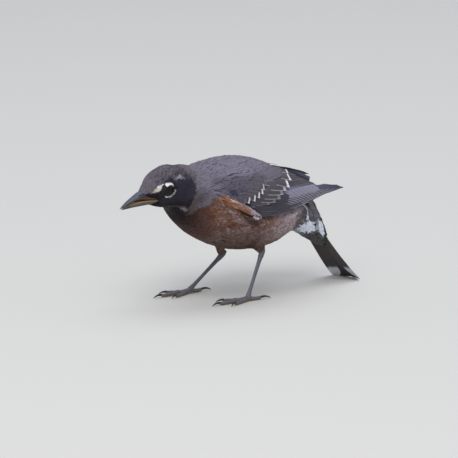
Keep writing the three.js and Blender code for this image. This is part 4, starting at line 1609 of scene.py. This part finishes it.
# Where the horn comes out from under the face feathers and their painted shadow ends, as [up, ahead].
HORN_BACK = [(-3, 20.0), (-1.9, 21.0), (-0.9, 20.2), (-0.2, 19.2), (0.6, 17.6), (3.5, 16.0)]
NOSTRIL_LONG, NOSTRIL_TALL, NOSTRIL_DEEP = 1.35, 0.5, 0.6
MOUTH_FROM, MOUTH_TO = 5.0, 22.0  # ahead of the eyes
SHELL = 0.62  # the share of a mandible's section that is its outer shell
HOLLOW = 0.36  # how far its inner face is hollowed out, as a share of its height


def horn_material():
    """Smooth horn with a fine grain along the bill."""
    made = Finish("bill_horn_grain", Roughness=0.4, Coat_Weight=0.15, Coat_Roughness=0.3)
    grain = made.run_grain((3.0, 30.0), 4.0, 5.0, 0.6)
    tint = made.attribute("tint")["Color"]
    toned = made.mottled(tint, 500.0, 0.3)["Colour"]
    made.feed("Base Color", made.mixed(made.fade(grain, 0.45, 0.75), toned, tint))
    made.feed("Roughness", made.plus(made.times(grain, 0.3), 0.25))
    made.bump(grain, 0.25, 0.0002)
    return made.material


def from_nostril(ahead, up):
    """Distance from the nostril's middle; 1 is its rim."""
    return np.hypot((ahead - NOSTRIL[0]) / NOSTRIL_LONG, (up - NOSTRIL[1]) / NOSTRIL_TALL)


def mandible(rows, upper):
    """place(u, v) for half a bill: an outer shell, and a hollow inner face between sharp edges."""
    rows = np.array(rows, float)

    def place(u, v):
        ahead, top, low, half = curve(rows, u).T
        edge, far = (low, top) if upper else (top, low)
        tall = far - edge
        turn = math.pi * np.clip(v / SHELL, 0, 1)
        cos, sin = np.cos(turn), np.sin(turn)
        x = half * np.sign(cos) * np.abs(cos) ** 0.9
        z = edge + tall * np.maximum(sin, 0) ** (0.86 if upper else 0.7)
        inner = np.clip((v - SHELL) / (1 - SHELL), 0, 1)
        x_in = -half * (1 - 0.03 * np.sin(math.pi * inner)) * (1 - 2 * inner)
        z_in = edge + HOLLOW * tall * np.sqrt(np.clip(1 - (1 - 2 * inner) ** 4, 0, 1))
        x, z = np.where(v <= SHELL, x, x_in), np.where(v <= SHELL, z, z_in)
        if upper:
            dent = ramp(1.1, 0.5, from_nostril(ahead, z))
            x = x - np.sign(x) * NOSTRIL_DEEP * dent * (v < SHELL)
        ends = inside_ends(u)
        x, z = x * ends, np.where(ends, z, edge + 0.5 * tall)
        return on_head(ahead, z, x)

    return place


def mouth_share(v):
    """How far places round a mandible's section are on its inner face."""
    return 0.9 * (v > SHELL + 0.02) * (v < 0.98)


def make_bill():
    material = horn_material()

    def upper_tint(u, v, places):
        ahead, up, left = from_head(places)
        edge = bill_line(UPPER_BILL, LOWER_LINE, ahead)
        colour = between(HORN, HORN_DARK, ramp(27, 33, ahead))
        # A lighter band along the ridge is a painted highlight.
        colour = blend(colour, HORN * 1.25, 0.6 * ramp(1.6, 0.6, np.abs(left)) * ramp(15, 22, ahead))
        # Where the face feathers begin, the horn is painted near the mask's black: a painted shadow
        # under them.
        back = ramp(0.7, -0.5, ahead - np.interp(up, *np.array(HORN_BACK).T))
        colour = blend(colour, MASK * 0.45, 0.9 * back)
        colour = blend(colour, HORN_EDGE, 0.6 * ramp(0.6, 0.1, up - edge) * ramp(30, 20, ahead))
        # The nostril's opening is painted near black: painted shade inside it.
        colour = blend(colour, HORN_DARK * 0.35, ramp(1.0, 0.6, from_nostril(ahead, up)))
        return blend(colour, MOUTH_SHADED, mouth_share(v))

    def lower_tint(u, v, places):
        ahead, up, _ = from_head(places)
        top = bill_line(LOWER_BILL, UPPER_LINE, ahead)
        colour = between(HORN_YELLOW, HORN_DARK, 0.85 * ramp(19, 29, ahead))
        colour = blend(colour, HORN, 0.5 * ramp(0.6, 2.2, top - up))
        colour = blend(colour, HORN_EDGE, 0.85 * ramp(1.5, 0.5, top - up) * ramp(30, 22, ahead))
        return blend(colour, MOUTH_SHADED, mouth_share(v))

    upper, lower = mandible(UPPER_BILL, True), mandible(LOWER_BILL, False)
    one_form("mandible_upper", material, ["bill_upper"], upper, upper_tint, 84, 48)
    one_form("mandible_lower", material, ["bill_lower"], lower, lower_tint, 70, 44)
    make_mouth(material)


def make_mouth(material):
    """The folded skin that closes the mouth between the mandibles, back to its corners."""

    def place(u, v):
        ahead = MOUTH_FROM + (MOUTH_TO - MOUTH_FROM) * u
        top = bill_line(UPPER_BILL, LOWER_LINE, ahead) + 0.5
        low = bill_line(LOWER_BILL, UPPER_LINE, ahead) - 0.5
        half = bill_line(UPPER_BILL, HALF_WIDTH, ahead)
        turn = 2 * math.pi * v
        # Across its middle the skin is drawn in.
        wide = (half - 0.35) * (0.86 + 0.14 * np.abs(np.sin(turn))) * ramp(1.0, 0.3, u) ** 0.6
        wide = wide + 0.3 * ramp(0.4, 0.02, u)
        tall = 0.5 * (top - low)
        ends = inside_ends(u)
        side = np.sign(np.cos(turn)) * np.abs(np.cos(turn)) ** 0.45
        return on_head(ahead, 0.5 * (top + low) + ends * tall * np.sin(turn), ends * wide * side)

    def tint(u, v, places):
        # Painted shade darkens the skin away from the corners.
        return between(HORN_EDGE * 0.9, MOUTH_SHADED, ramp(0.02, 0.22, u))

    one_form("mouth_corners", material, [], place, tint, 34, 32)


# ---- legs ----

SHANK = paint(98, 98, 110)
SHANK_PALE = paint(124, 124, 136)
PAD = paint(122, 108, 84)
CLAW = paint(30, 27, 28)
TOE_NAMES = ("inner", "middle", "outer", "hind")
SCUTE, TOE_SCUTE = 1.9, 1.15  # lengths of the shank's and the toes' scales
SCUTE_HIGH, TOE_SCUTE_HIGH = 0.055, 0.09  # their height, as a share of the limb's radius
JOINT_TALL = 2.2
AHEAD = np.array([0.0, -1.0, 0.0])
LEVEL = np.array([1, 1, 0])
# Sections as [share of the way along, radius], and for the toes and claws the height as well.
SHANK_ROWS = [
    (-0.16, 0.9), (-0.08, 1.9), (0, 2.0), (0.06, 1.9), (0.16, 1.5), (0.5, 1.22), (0.82, 1.35),
    (0.94, 1.7), (1.0, 1.75), (1.05, 0.9),
]
TOE_ROWS = [
    (-0.16, 0.8, 2.6), (-0.08, 1.5, 2.4), (0.08, 1.55, 2.0), (0.22, 1.4, 1.6), (0.4, 1.15, 1.35),
    (0.52, 1.35, 1.4), (0.66, 1.1, 1.3), (0.8, 1.25, 1.3), (0.92, 1.15, 1.35), (1.0, 1.0, 1.5),
    (1.04, 0.5, 1.6),
]
CLAW_ROWS = [
    (0, 0.35, 1.35), (0.08, 0.8, 1.45), (0.3, 0.82, 1.9), (0.55, 0.66, 1.9), (0.78, 0.45, 1.35),
    (0.94, 0.22, 0.6), (1.0, 0.05, 0.22),
]


def leg_material():
    """Small scales with dark seams."""
    made = Finish("leg_scales", Roughness=0.5, Specular_IOR_Level=0.4)
    place = made.node("TexCoord")["Object"]
    cells = made.node("TexVoronoi", {"Vector": place, "Scale": 1500.0}, feature="DISTANCE_TO_EDGE")
    seam = made.fade(cells[0], 0.0, 0.12)
    toned = made.mottled(made.attribute("tint")["Color"], 900.0, 0.3)["Colour"]
    made.feed("Base Color", made.mixed(seam, made.tinged(toned, (0.6, 0.58, 0.58)), toned))
    made.bump(seam, 0.3, 0.0001)
    return made.material


def claw_material():
    """Dark horn with a few pale streaks along the claw."""
    made = Finish("claw_horn", Roughness=0.32, Coat_Weight=0.2, Coat_Roughness=0.2)
    grain = made.run_grain((2.0, 14.0), 5.0, 4.0)
    tint = made.attribute("tint")["Color"]
    pale = made.tinged(tint, (1.6, 1.5, 1.4))
    made.feed("Base Color", made.mixed(made.fade(grain, 0.5, 0.8), tint, pale))
    made.bump(grain, 0.2, 0.0001)
    return made.material


def node_ends(name, near):
    """A slim node's two ends: the mean place of its nearest part to near, and its far tip."""
    places, _ = node_arrays(name)
    far = np.linalg.norm(places - near, axis=1)
    base = places[far < far.min() + 1.3].mean(axis=0)
    tip = places[far > far.max() - 0.25].mean(axis=0)
    return base, tip


def scales_along(line, start, way, long):
    """Reads places on a limb: outwards from its middle, how far along, and how far through a scale."""

    def read(u, at):
        centre = curve(line, u)
        along = (centre - start) @ way
        return at - centre, along, (along / long) % 1.0

    return read


def make_leg(side, scales, horn):
    places, _ = node_arrays("tarsus_" + side)
    z = places[:, 2]
    ankle = places[z > z.max() - JOINT_TALL].mean(axis=0)
    foot = places[z < z.min() + JOINT_TALL].mean(axis=0)
    down = unit(foot - ankle)
    long = np.linalg.norm(foot - ankle)
    line = [ankle + down * long * s for s, _ in SHANK_ROWS]
    body = tube(line, [r for _, r in SHANK_ROWS], flat=0.8, over=AHEAD)
    read = scales_along(line, ankle, down, SCUTE)

    def shank(u, v):
        at = body(u, v)
        out, _, step = read(u, at)
        # Broad plates overlap down the front, and the back is a narrow smooth keel.
        front = ramp(-0.2, 0.5, unit(out) @ AHEAD)
        return at + out * (SCUTE_HIGH * front * (step**2 - 0.4))[:, None]

    def tint(u, v, at):
        out, _, step = read(u, at)
        front = ramp(-0.2, 0.5, unit(out) @ AHEAD)
        colour = between(SHANK, SHANK_PALE, 0.5 * front * ramp(0.1, 0.6, step))
        return blend(colour, SHANK * 0.5, front * ramp(0.12, 0.0, step))

    one_form("shank_" + side, scales, ["tarsus_" + side], shank, tint, 130, 24)

    toes, claws = new_form(), new_form()
    nodes = ["claw_%s_%s" % (toe, side) for toe in TOE_NAMES]
    for node in nodes:
        base, tip = node_ends(node, foot)
        add_toe(toes, foot, base, tip)
        add_claw(claws, foot, base, tip)
    finish_form(toes, "toes_" + side, scales, ["foot_" + side])
    finish_form(claws, "claws_" + side, horn, nodes)


def add_toe(bm, foot, base, tip):
    way = unit((tip - foot) * LEVEL)
    end = dot(base - foot, way) + 0.9
    line = [foot * LEVEL + way * end * s + np.array([0, 0, h]) for s, _, h in TOE_ROWS]
    body = tube(line, [r for _, r, _ in TOE_ROWS], flat=0.95)
    read = scales_along(line, foot, way, TOE_SCUTE)

    def toe(u, v):
        at = body(u, v)
        out, along, step = read(u, at)
        top = ramp(-0.1, 0.6, unit(out)[:, 2])
        at = at + out * (TOE_SCUTE_HIGH * top * (step**2 - 0.4))[:, None]
        pad = 0.18 * np.sin(along * 2.1) * ramp(0, -0.8, unit(read(u, at)[0])[:, 2])
        at[:, 2] = np.maximum(at[:, 2] - pad, 0.02 + 0.05 * ramp(0.3, 0, at[:, 2]))
        return at

    def tint(u, v, at):
        out, _, step = read(u, at)
        top = ramp(-0.1, 0.5, unit(out)[:, 2])
        colour = blend(between(PAD, SHANK, top), SHANK_PALE, 0.45 * top * ramp(0.2, 0.7, step))
        return blend(colour, SHANK * 0.45, top * ramp(0.16, 0.0, step))

    add_form(bm, toe, tint, 90, 20)


def add_claw(bm, foot, base, tip):
    way = unit((tip - foot) * LEVEL)
    start = base - way * 0.6
    long = dot(tip - start, way)
    line = [np.array([*(start + way * long * s)[:2], h]) for s, _, h in CLAW_ROWS]
    body = tube(line, [r for _, r, _ in CLAW_ROWS], flat=0.66)

    def claw(u, v):
        at = body(u, v)
        at[:, 2] = np.maximum(at[:, 2], 0.03)
        return at

    def tint(u, v, at):
        return between(CLAW * 1.6, CLAW, ramp(0.05, 0.5, u))

    add_form(bm, claw, tint, 26, 16)


# ---- wings and tail ----

FLIGHT = paint(56, 53, 66)
SECONDARY = paint(110, 110, 138)
FLIGHT_EDGE = paint(212, 208, 226)
COVERT = paint(76, 71, 80)
COVERT_EDGE = paint(196, 188, 194)
TERTIAL = paint(66, 61, 72)
ALULA = paint(60, 56, 70)
TAIL = paint(58, 51, 50)
TAIL_EDGE = paint(92, 87, 85)
FEATHER_WHITE = paint(226, 228, 240)
PRIMARIES, SECONDARIES = 6, 6
WING_ROOT_Y = 8  # where the flight feathers come out from under the coverts
STACK = 0.15  # from one flight feather to the next one over it
STACK_FROM = -1.8
# The outline of each kind of feather: where it tapers, how bluntly, and how its inner web narrows.
PRIMARY_SHAPE = dict(taper=0.66, blunt=1.7, narrow=0.4)
SECONDARY_SHAPE = dict(taper=0.86, blunt=2.4, narrow=0.2)
TERTIAL_SHAPE = dict(taper=0.72, blunt=2.0, narrow=0.3, bow=-0.6, clear=0.75)
PRIMARY_COVERT_SHAPE = dict(taper=0.7, blunt=1.8, narrow=0.3, bow=0.8, dive=1.0)
ALULA_SHAPE = dict(PRIMARY_COVERT_SHAPE, bow=0.7)
GREATER_SHAPE = dict(taper=0.94, blunt=4.0, narrow=0.1, bow=0.4, dive=0.7, clear=0.2)
SCAPULAR_SHAPE = dict(taper=0.72, blunt=2.4, dive=1.6, clear=0.6)
MEDIAN_SHAPE = dict(taper=0.86, blunt=3.4, dive=1.6, clear=0.8)
RECTRIX_SHAPE = dict(taper=0.87, blunt=2.2, bow=0.2, dive=0.8, clear=0.4)

# The feathers' outer edges on the wing's flat chart, as [y, z], from the outermost inwards.
PRIMARY_TIPS = [
    (80.5, 62.2), (86.4, 62.9), (85.2, 63.5), (80, 64.2), (74, 64.9), (68, 65.6),
]
SECONDARY_TIPS = [(63.6, 65.8), (63.0, 66.4), (62.3, 67.0), (61.4, 67.6), (60.5, 68.3)]
TERTIALS = [((8, 75.2), (59, 69.4)), ((8, 78.3), (53.5, 72.6)), ((8, 82), (47, 76))]
SCAPULARS = [
    ((4, 79.6), (27.5, 80)), ((7, 81.6), (31, 81.6)), ((10, 83.6), (34, 83.4)), ((12, 85.6), (37, 85)),
]
GREATER_STARTS = [
    (-11, 66), (-8, 66.8), (-5, 68.6), (-2.4, 70.6), (0.5, 72.9), (4, 75.6), (12, 77.6), (20, 79.4),
    (26, 81.5),
]
GREATER_TIPS = [
    (-1, 64.8), (5.4, 65.8), (10.5, 66.6), (15.1, 68.1), (18.6, 70.3), (22.4, 72), (26.5, 73),
    (32, 75.9), (33.4, 79.3),
]
GREATER_WHITE = (0.1, 0.12, 0.15, 0.2, 0.25, 0.5, 1.0, 1.0, 1.0)
MEDIAN_TIPS = [
    (-14.5, 68.2), (-11.5, 68.6), (-7.2, 69.4), (-3.5, 70.9), (-0.3, 73), (1.7, 75.2), (4.4, 77.4),
]
MEDIAN_WHITE = (0.1, 0.75, 0.85, 0.85, 0.85, 0.5, 0.1)
MEDIAN_BACK = (-8.5, 3.2)
# The last ones turn back up to the greater coverts' tips: dark feathers that stand in for the shade
# below those tips.
PRIMARY_COVERT_TIPS = [
    (29, 57.4), (27.5, 59), (25, 60.4), (22.5, 61.8), (21, 63.2), (23, 64.8), (25, 66.4), (25, 68.2),
]
ALULA_TIPS = [(4, 57.9), (8, 59.4), (12, 60.9)]


def flight_feathers():
    """Primaries, secondaries and tertials, each lying over the one outside it."""
    made = []
    tips = [*PRIMARY_TIPS, *curve(SECONDARY_TIPS, np.linspace(0, 1, SECONDARIES))]
    count = PRIMARIES + SECONDARIES
    edge = (FLIGHT_EDGE, 0.9)
    for k, tip in enumerate(tips):
        late = max(0, k - PRIMARIES + 1) / SECONDARIES
        start = (WING_ROOT_Y, 58 + 1.68 * min(k, PRIMARIES) + 0.82 * max(0, k - PRIMARIES))
        shape = PRIMARY_SHAPE if k < PRIMARIES else SECONDARY_SHAPE
        bow = np.interp(k, [0, count - 1], [2.1, -0.5])
        tint = blend(FLIGHT, SECONDARY, ramp(-0.2, 0.5, late))
        made.append(feather(
            start, tip, blend(2.0, 2.4, late), 6.5, STACK_FROM + STACK * k, tint, edge,
            dive=blend(1.2, 1.5, late), clear=blend(0.5, 0.7, late), bow=bow, **shape,
        ))
    for i, (start, tip) in enumerate(TERTIALS):
        lift = STACK_FROM + STACK * (count + 2 + i)
        edge = (COVERT_EDGE, 0.55)
        dive = 1.7 + 0.25 * i
        made.append(feather(start, tip, 3.4, 4.0, lift, TERTIAL, edge, dive=dive, **TERTIAL_SHAPE))
    return made


def covert_feathers():
    """Primary coverts, alulas, greater coverts, long scapulars and median coverts."""
    made = []
    edge = (FLIGHT_EDGE, 0.12)
    for i, tip in enumerate(PRIMARY_COVERT_TIPS):
        start, lift = (-4 + 0.5 * i, 58.6 + 1.05 * i), -0.45 + 0.05 * i
        made.append(feather(start, tip, 1.5, 3.5, lift, ALULA, edge, **PRIMARY_COVERT_SHAPE))
    edge = (FLIGHT_EDGE, 0.15)
    for i, tip in enumerate(ALULA_TIPS):
        start, lift = (-14, 61.4 + 0.95 * i), 0.3 + 0.12 * i
        made.append(feather(start, tip, 1.4, 3.2, lift, ALULA, edge, **ALULA_SHAPE))
    edge = (COVERT_EDGE, 0.85)
    for i, (start, tip, white) in enumerate(zip(GREATER_STARTS, GREATER_TIPS, GREATER_WHITE)):
        lift = -0.1 + 0.13 * i + 0.2 * max(0, i - 5)
        mark = (FEATHER_WHITE, white)
        made.append(feather(start, tip, 1.6, 4.6, lift, COVERT, edge, mark, **GREATER_SHAPE))
    edge = (BACK_EDGE, 0.4)
    for i, (start, tip) in enumerate(SCAPULARS):
        lift = 1.2 + 0.12 * i
        made.append(feather(start, tip, 1.8, 4.2, lift, BACK * 0.8, edge, **SCAPULAR_SHAPE))
    edge = (COVERT_EDGE, 0.4)
    for i, (tip, white) in enumerate(zip(MEDIAN_TIPS, MEDIAN_WHITE)):
        start, lift = np.array(tip) + np.array(MEDIAN_BACK), 0.95 + 0.06 * i
        mark = (FEATHER_WHITE, white)
        made.append(feather(start, tip, 1.5, 2.4, lift, COVERT, edge, mark, **MEDIAN_SHAPE))
    return made


# The far wing is no mirror image: its feathers lie FAR_ON further back, less FAR_IN of what is past
# FAR_BEND; the innermost rise by FAR_UP, and the others fall by FAR_DOWN and FAR_DOWN_BEHIND.
FAR_ON, FAR_IN, FAR_BEND = 10, 0.45, 50
FAR_UP, FAR_DOWN, FAR_DOWN_BEHIND = 6.4, 2.8, 1.2
WING_OVERHANG = 1.6  # how far past the wing's upper edge a feather may lie


def wing_chart(left, other):
    """Carries places on the left wing's chart to the other wing's, and keeps them on it."""

    def chart(u, v):
        low, high = left.edges_at(u)
        tall = np.maximum(high - low, 1)
        share = np.clip((v - low) / tall, -0.02 - 0.06 * ramp(30, 20, u), 1.0)
        past = 1 + np.clip((v - high) / tall, 0, 1) * ramp(56, 74, u)
        share = np.where(v > high, past, share)
        if other is not left:
            u = u + FAR_ON * ramp(28, 46, u) - FAR_IN * np.maximum(u - FAR_BEND, 0)
        low, high = other.edges_at(u)
        v = np.minimum(low + share * (high - low), high + WING_OVERHANG)
        if other is not left:
            inmost = ramp(0.6, 0.85, share.mean(axis=(1, 2), keepdims=True))
            v = v - FAR_DOWN * ramp(12, 30, u) + FAR_UP * inmost * ramp(38, 62, u)
            v = v - FAR_DOWN_BEHIND * (1 - inmost) * ramp(45, 75, u)
        return u, v

    return chart


def stiff_vane_material():
    """Long feathers: a firm vane, a fine shaft, a pale outer edge and a pale tip."""
    made = Finish("stiff_vane", Roughness=0.55, Specular_IOR_Level=0.35)
    barbs, side, along = made.vane(190.0, 0.25)
    tint, edge, mark = (made.attribute(name) for name in ("tint", "edge", "mark"))
    wander = made.times(made.minus(barbs["Height"], 0.5), 0.04)
    across = made.plus(side, wander)
    # The tint's alpha turns the share across the vane into millimetres from its outer edge.
    from_edge = made.times(across, made.times(tint["Alpha"], 20.0))
    rim = made.times(made.fade(from_edge, 0.5, 0.3), edge["Alpha"])
    inner = made.times(made.fade(across, 0.93, 0.99), made.times(edge["Alpha"], 0.4))
    end = made.plus(along, made.times(wander, 0.8))
    tip = made.times(made.fade(end, 0.82, 0.86), mark["Alpha"])
    colour = made.mixed(made.maths("MAXIMUM", rim, inner), tint["Color"], edge["Color"])
    colour = made.mixed(tip, colour, mark["Color"])
    dark = made.tinged(colour, (0.45, 0.42, 0.42))
    colour = made.mixed(made.times(barbs["Shaft"], 0.6), colour, dark)
    colour = made.mixed(made.times(barbs["Parting"], 0.25), colour, dark)
    made.feed("Base Color", made.mottled(colour, 500.0, 0.2)["Colour"])
    made.bump(barbs["Height"], 0.2, 0.0001)
    return made.material


def make_wings(material):
    axis_y, axis_z = np.array([0.0, 1.0, 0.0]), np.array([0.0, 0.0, 1.0])
    sheets = {
        side: Sheet("wing_" + side, np.zeros(3), axis_y, axis_z, np.array([sign, 0.0, 0.0]))
        for side, sign in SIDES
    }
    for side, sheet in sheets.items():
        chart = wing_chart(sheets["left"], sheet)
        stiff_feathers("flight_" + side, sheet, flight_feathers(), material, chart=chart)
        coverts = covert_feathers()
        stiff_feathers("coverts_" + side, sheet, coverts, material, rows=14, chart=chart)


RECTRICES = 12
TAIL_MIDDLE = (RECTRICES - 1) / 2
TAIL_ABOVE = 14  # how far before the tail's start its feathers begin
TAIL_SHORT, TAIL_ROUNDED = 0.4, 2.6  # how far short of its end the middle and outer ones stop
TAIL_INSET, TAIL_APART = 3.4, 3.0  # how far in from its side they lie, and out from their middles


def make_tail(material):
    places, _ = node_arrays("tail")
    middle = places.mean(axis=0)
    axes = np.linalg.svd(places - middle, full_matrices=False)[2]
    along = axes[0] * np.sign(axes[0] @ np.array([0.0, 0.5, -1.0]))
    across = axes[1] * np.sign(axes[1][0])
    out = np.cross(across, along)
    if out[1] < 0:
        out = -out
    sheet = Sheet("tail", middle, along, across, out)
    first, last = sheet.ends[0, 0], sheet.ends[-1, 0]
    tip_half = 0.5 * (sheet.ends[:, 2] - sheet.ends[:, 1])[-12:-4].max()
    made = []
    for i in sorted(range(RECTRICES), key=lambda i: -abs(i - TAIL_MIDDLE)):
        share = (i - TAIL_MIDDLE) / TAIL_MIDDLE
        side = 1 if share > 0 else -1
        across_tip = share * (tip_half - TAIL_INSET) + side * TAIL_APART
        tip = (last - TAIL_SHORT - TAIL_ROUNDED * share**2, across_tip)
        start = (first - TAIL_ABOVE, share * 5.0 + side * 1.6)
        lift = -0.15 - 0.17 * abs(i - TAIL_MIDDLE)
        edge = (TAIL_EDGE, 0.6)
        corner = (FEATHER_WHITE, 0.8 if abs(share) > 0.95 else 0.0)
        made.append(
            feather(start, tip, 2.9, 6.0, lift, TAIL, edge, corner, facing=side, **RECTRIX_SHAPE)
        )
    stiff_feathers("tail_feathers", sheet, made, material, ["tail"])


# ---- stage ----

CAMERA_TURN, CAMERA_RISE = 55, 12
CAMERA_AWAY = 5.0
CAMERA_LENS = 589.6
CAMERA_AIM = (0.0, -4.6, 44.7)  # millimetres
LIGHTS_AIM = (0, 0, 0.06)
FLOOR_SIZE = 40


def make_camera():
    data = bpy.data.cameras.new("camera")
    data.lens = CAMERA_LENS
    data.sensor_width = 36
    data.clip_end = 100
    turn, rise = math.radians(CAMERA_TURN), math.radians(CAMERA_RISE)
    ahead = Vector((-math.sin(turn) * math.cos(rise), math.cos(turn) * math.cos(rise), -math.sin(rise)))
    obj = put("camera", data)
    obj.location = Vector(CAMERA_AIM) * MM - ahead * CAMERA_AWAY
    obj.rotation_euler = ahead.to_track_quat("-Z", "Y").to_euler()
    bpy.context.scene.camera = obj


def make_light(name, place, size, power, tint):
    data = bpy.data.lights.new(name, "AREA")
    data.shape = "DISK"
    data.size = size
    data.energy = power
    data.color = tint
    obj = put(name, data)
    obj.location = place
    obj.rotation_euler = (Vector(LIGHTS_AIM) - Vector(place)).to_track_quat("-Z", "Y").to_euler()


def make_stage():
    bm = bmesh.new()
    bmesh.ops.create_grid(bm, x_segments=1, y_segments=1, size=FLOOR_SIZE)
    mesh = bpy.data.meshes.new("floor")
    bm.to_mesh(mesh)
    bm.free()
    floor = put("floor", mesh)
    pale = Finish(
        "floor_pale", Base_Color=(0.62, 0.62, 0.61, 1), Roughness=0.9, Specular_IOR_Level=0.1
    )
    mesh.materials.append(pale.material)
    world = bpy.data.worlds.new("studio")
    world.use_nodes = True
    backdrop = world.node_tree.nodes["Background"]
    backdrop.inputs["Color"].default_value = (0.93, 0.95, 1.0, 1)
    backdrop.inputs["Strength"].default_value = 0.55
    bpy.context.scene.world = world
    bpy.context.scene.view_settings.view_transform = "Standard"
    make_light("key", place=(0.9, -0.9, 1.9), size=1.6, power=26, tint=(1.0, 0.98, 0.95))
    make_light("top", place=(-0.5, 0.6, 2.1), size=1.8, power=16, tint=(0.95, 0.97, 1.0))


make_camera()
make_stage()
make_skin()
make_contour_coat()
EYE_BALL, LID_SKIN = eye_material(), lid_material()
SCALES, CLAW_HORN = leg_material(), claw_material()
for side, sign in SIDES:
    make_eye(side, sign, EYE_BALL)
    make_lids(side, sign, LID_SKIN)
    make_leg(side, SCALES, CLAW_HORN)
make_bill()
STIFF_VANE = stiff_vane_material()
make_wings(STIFF_VANE)
make_tail(STIFF_VANE)
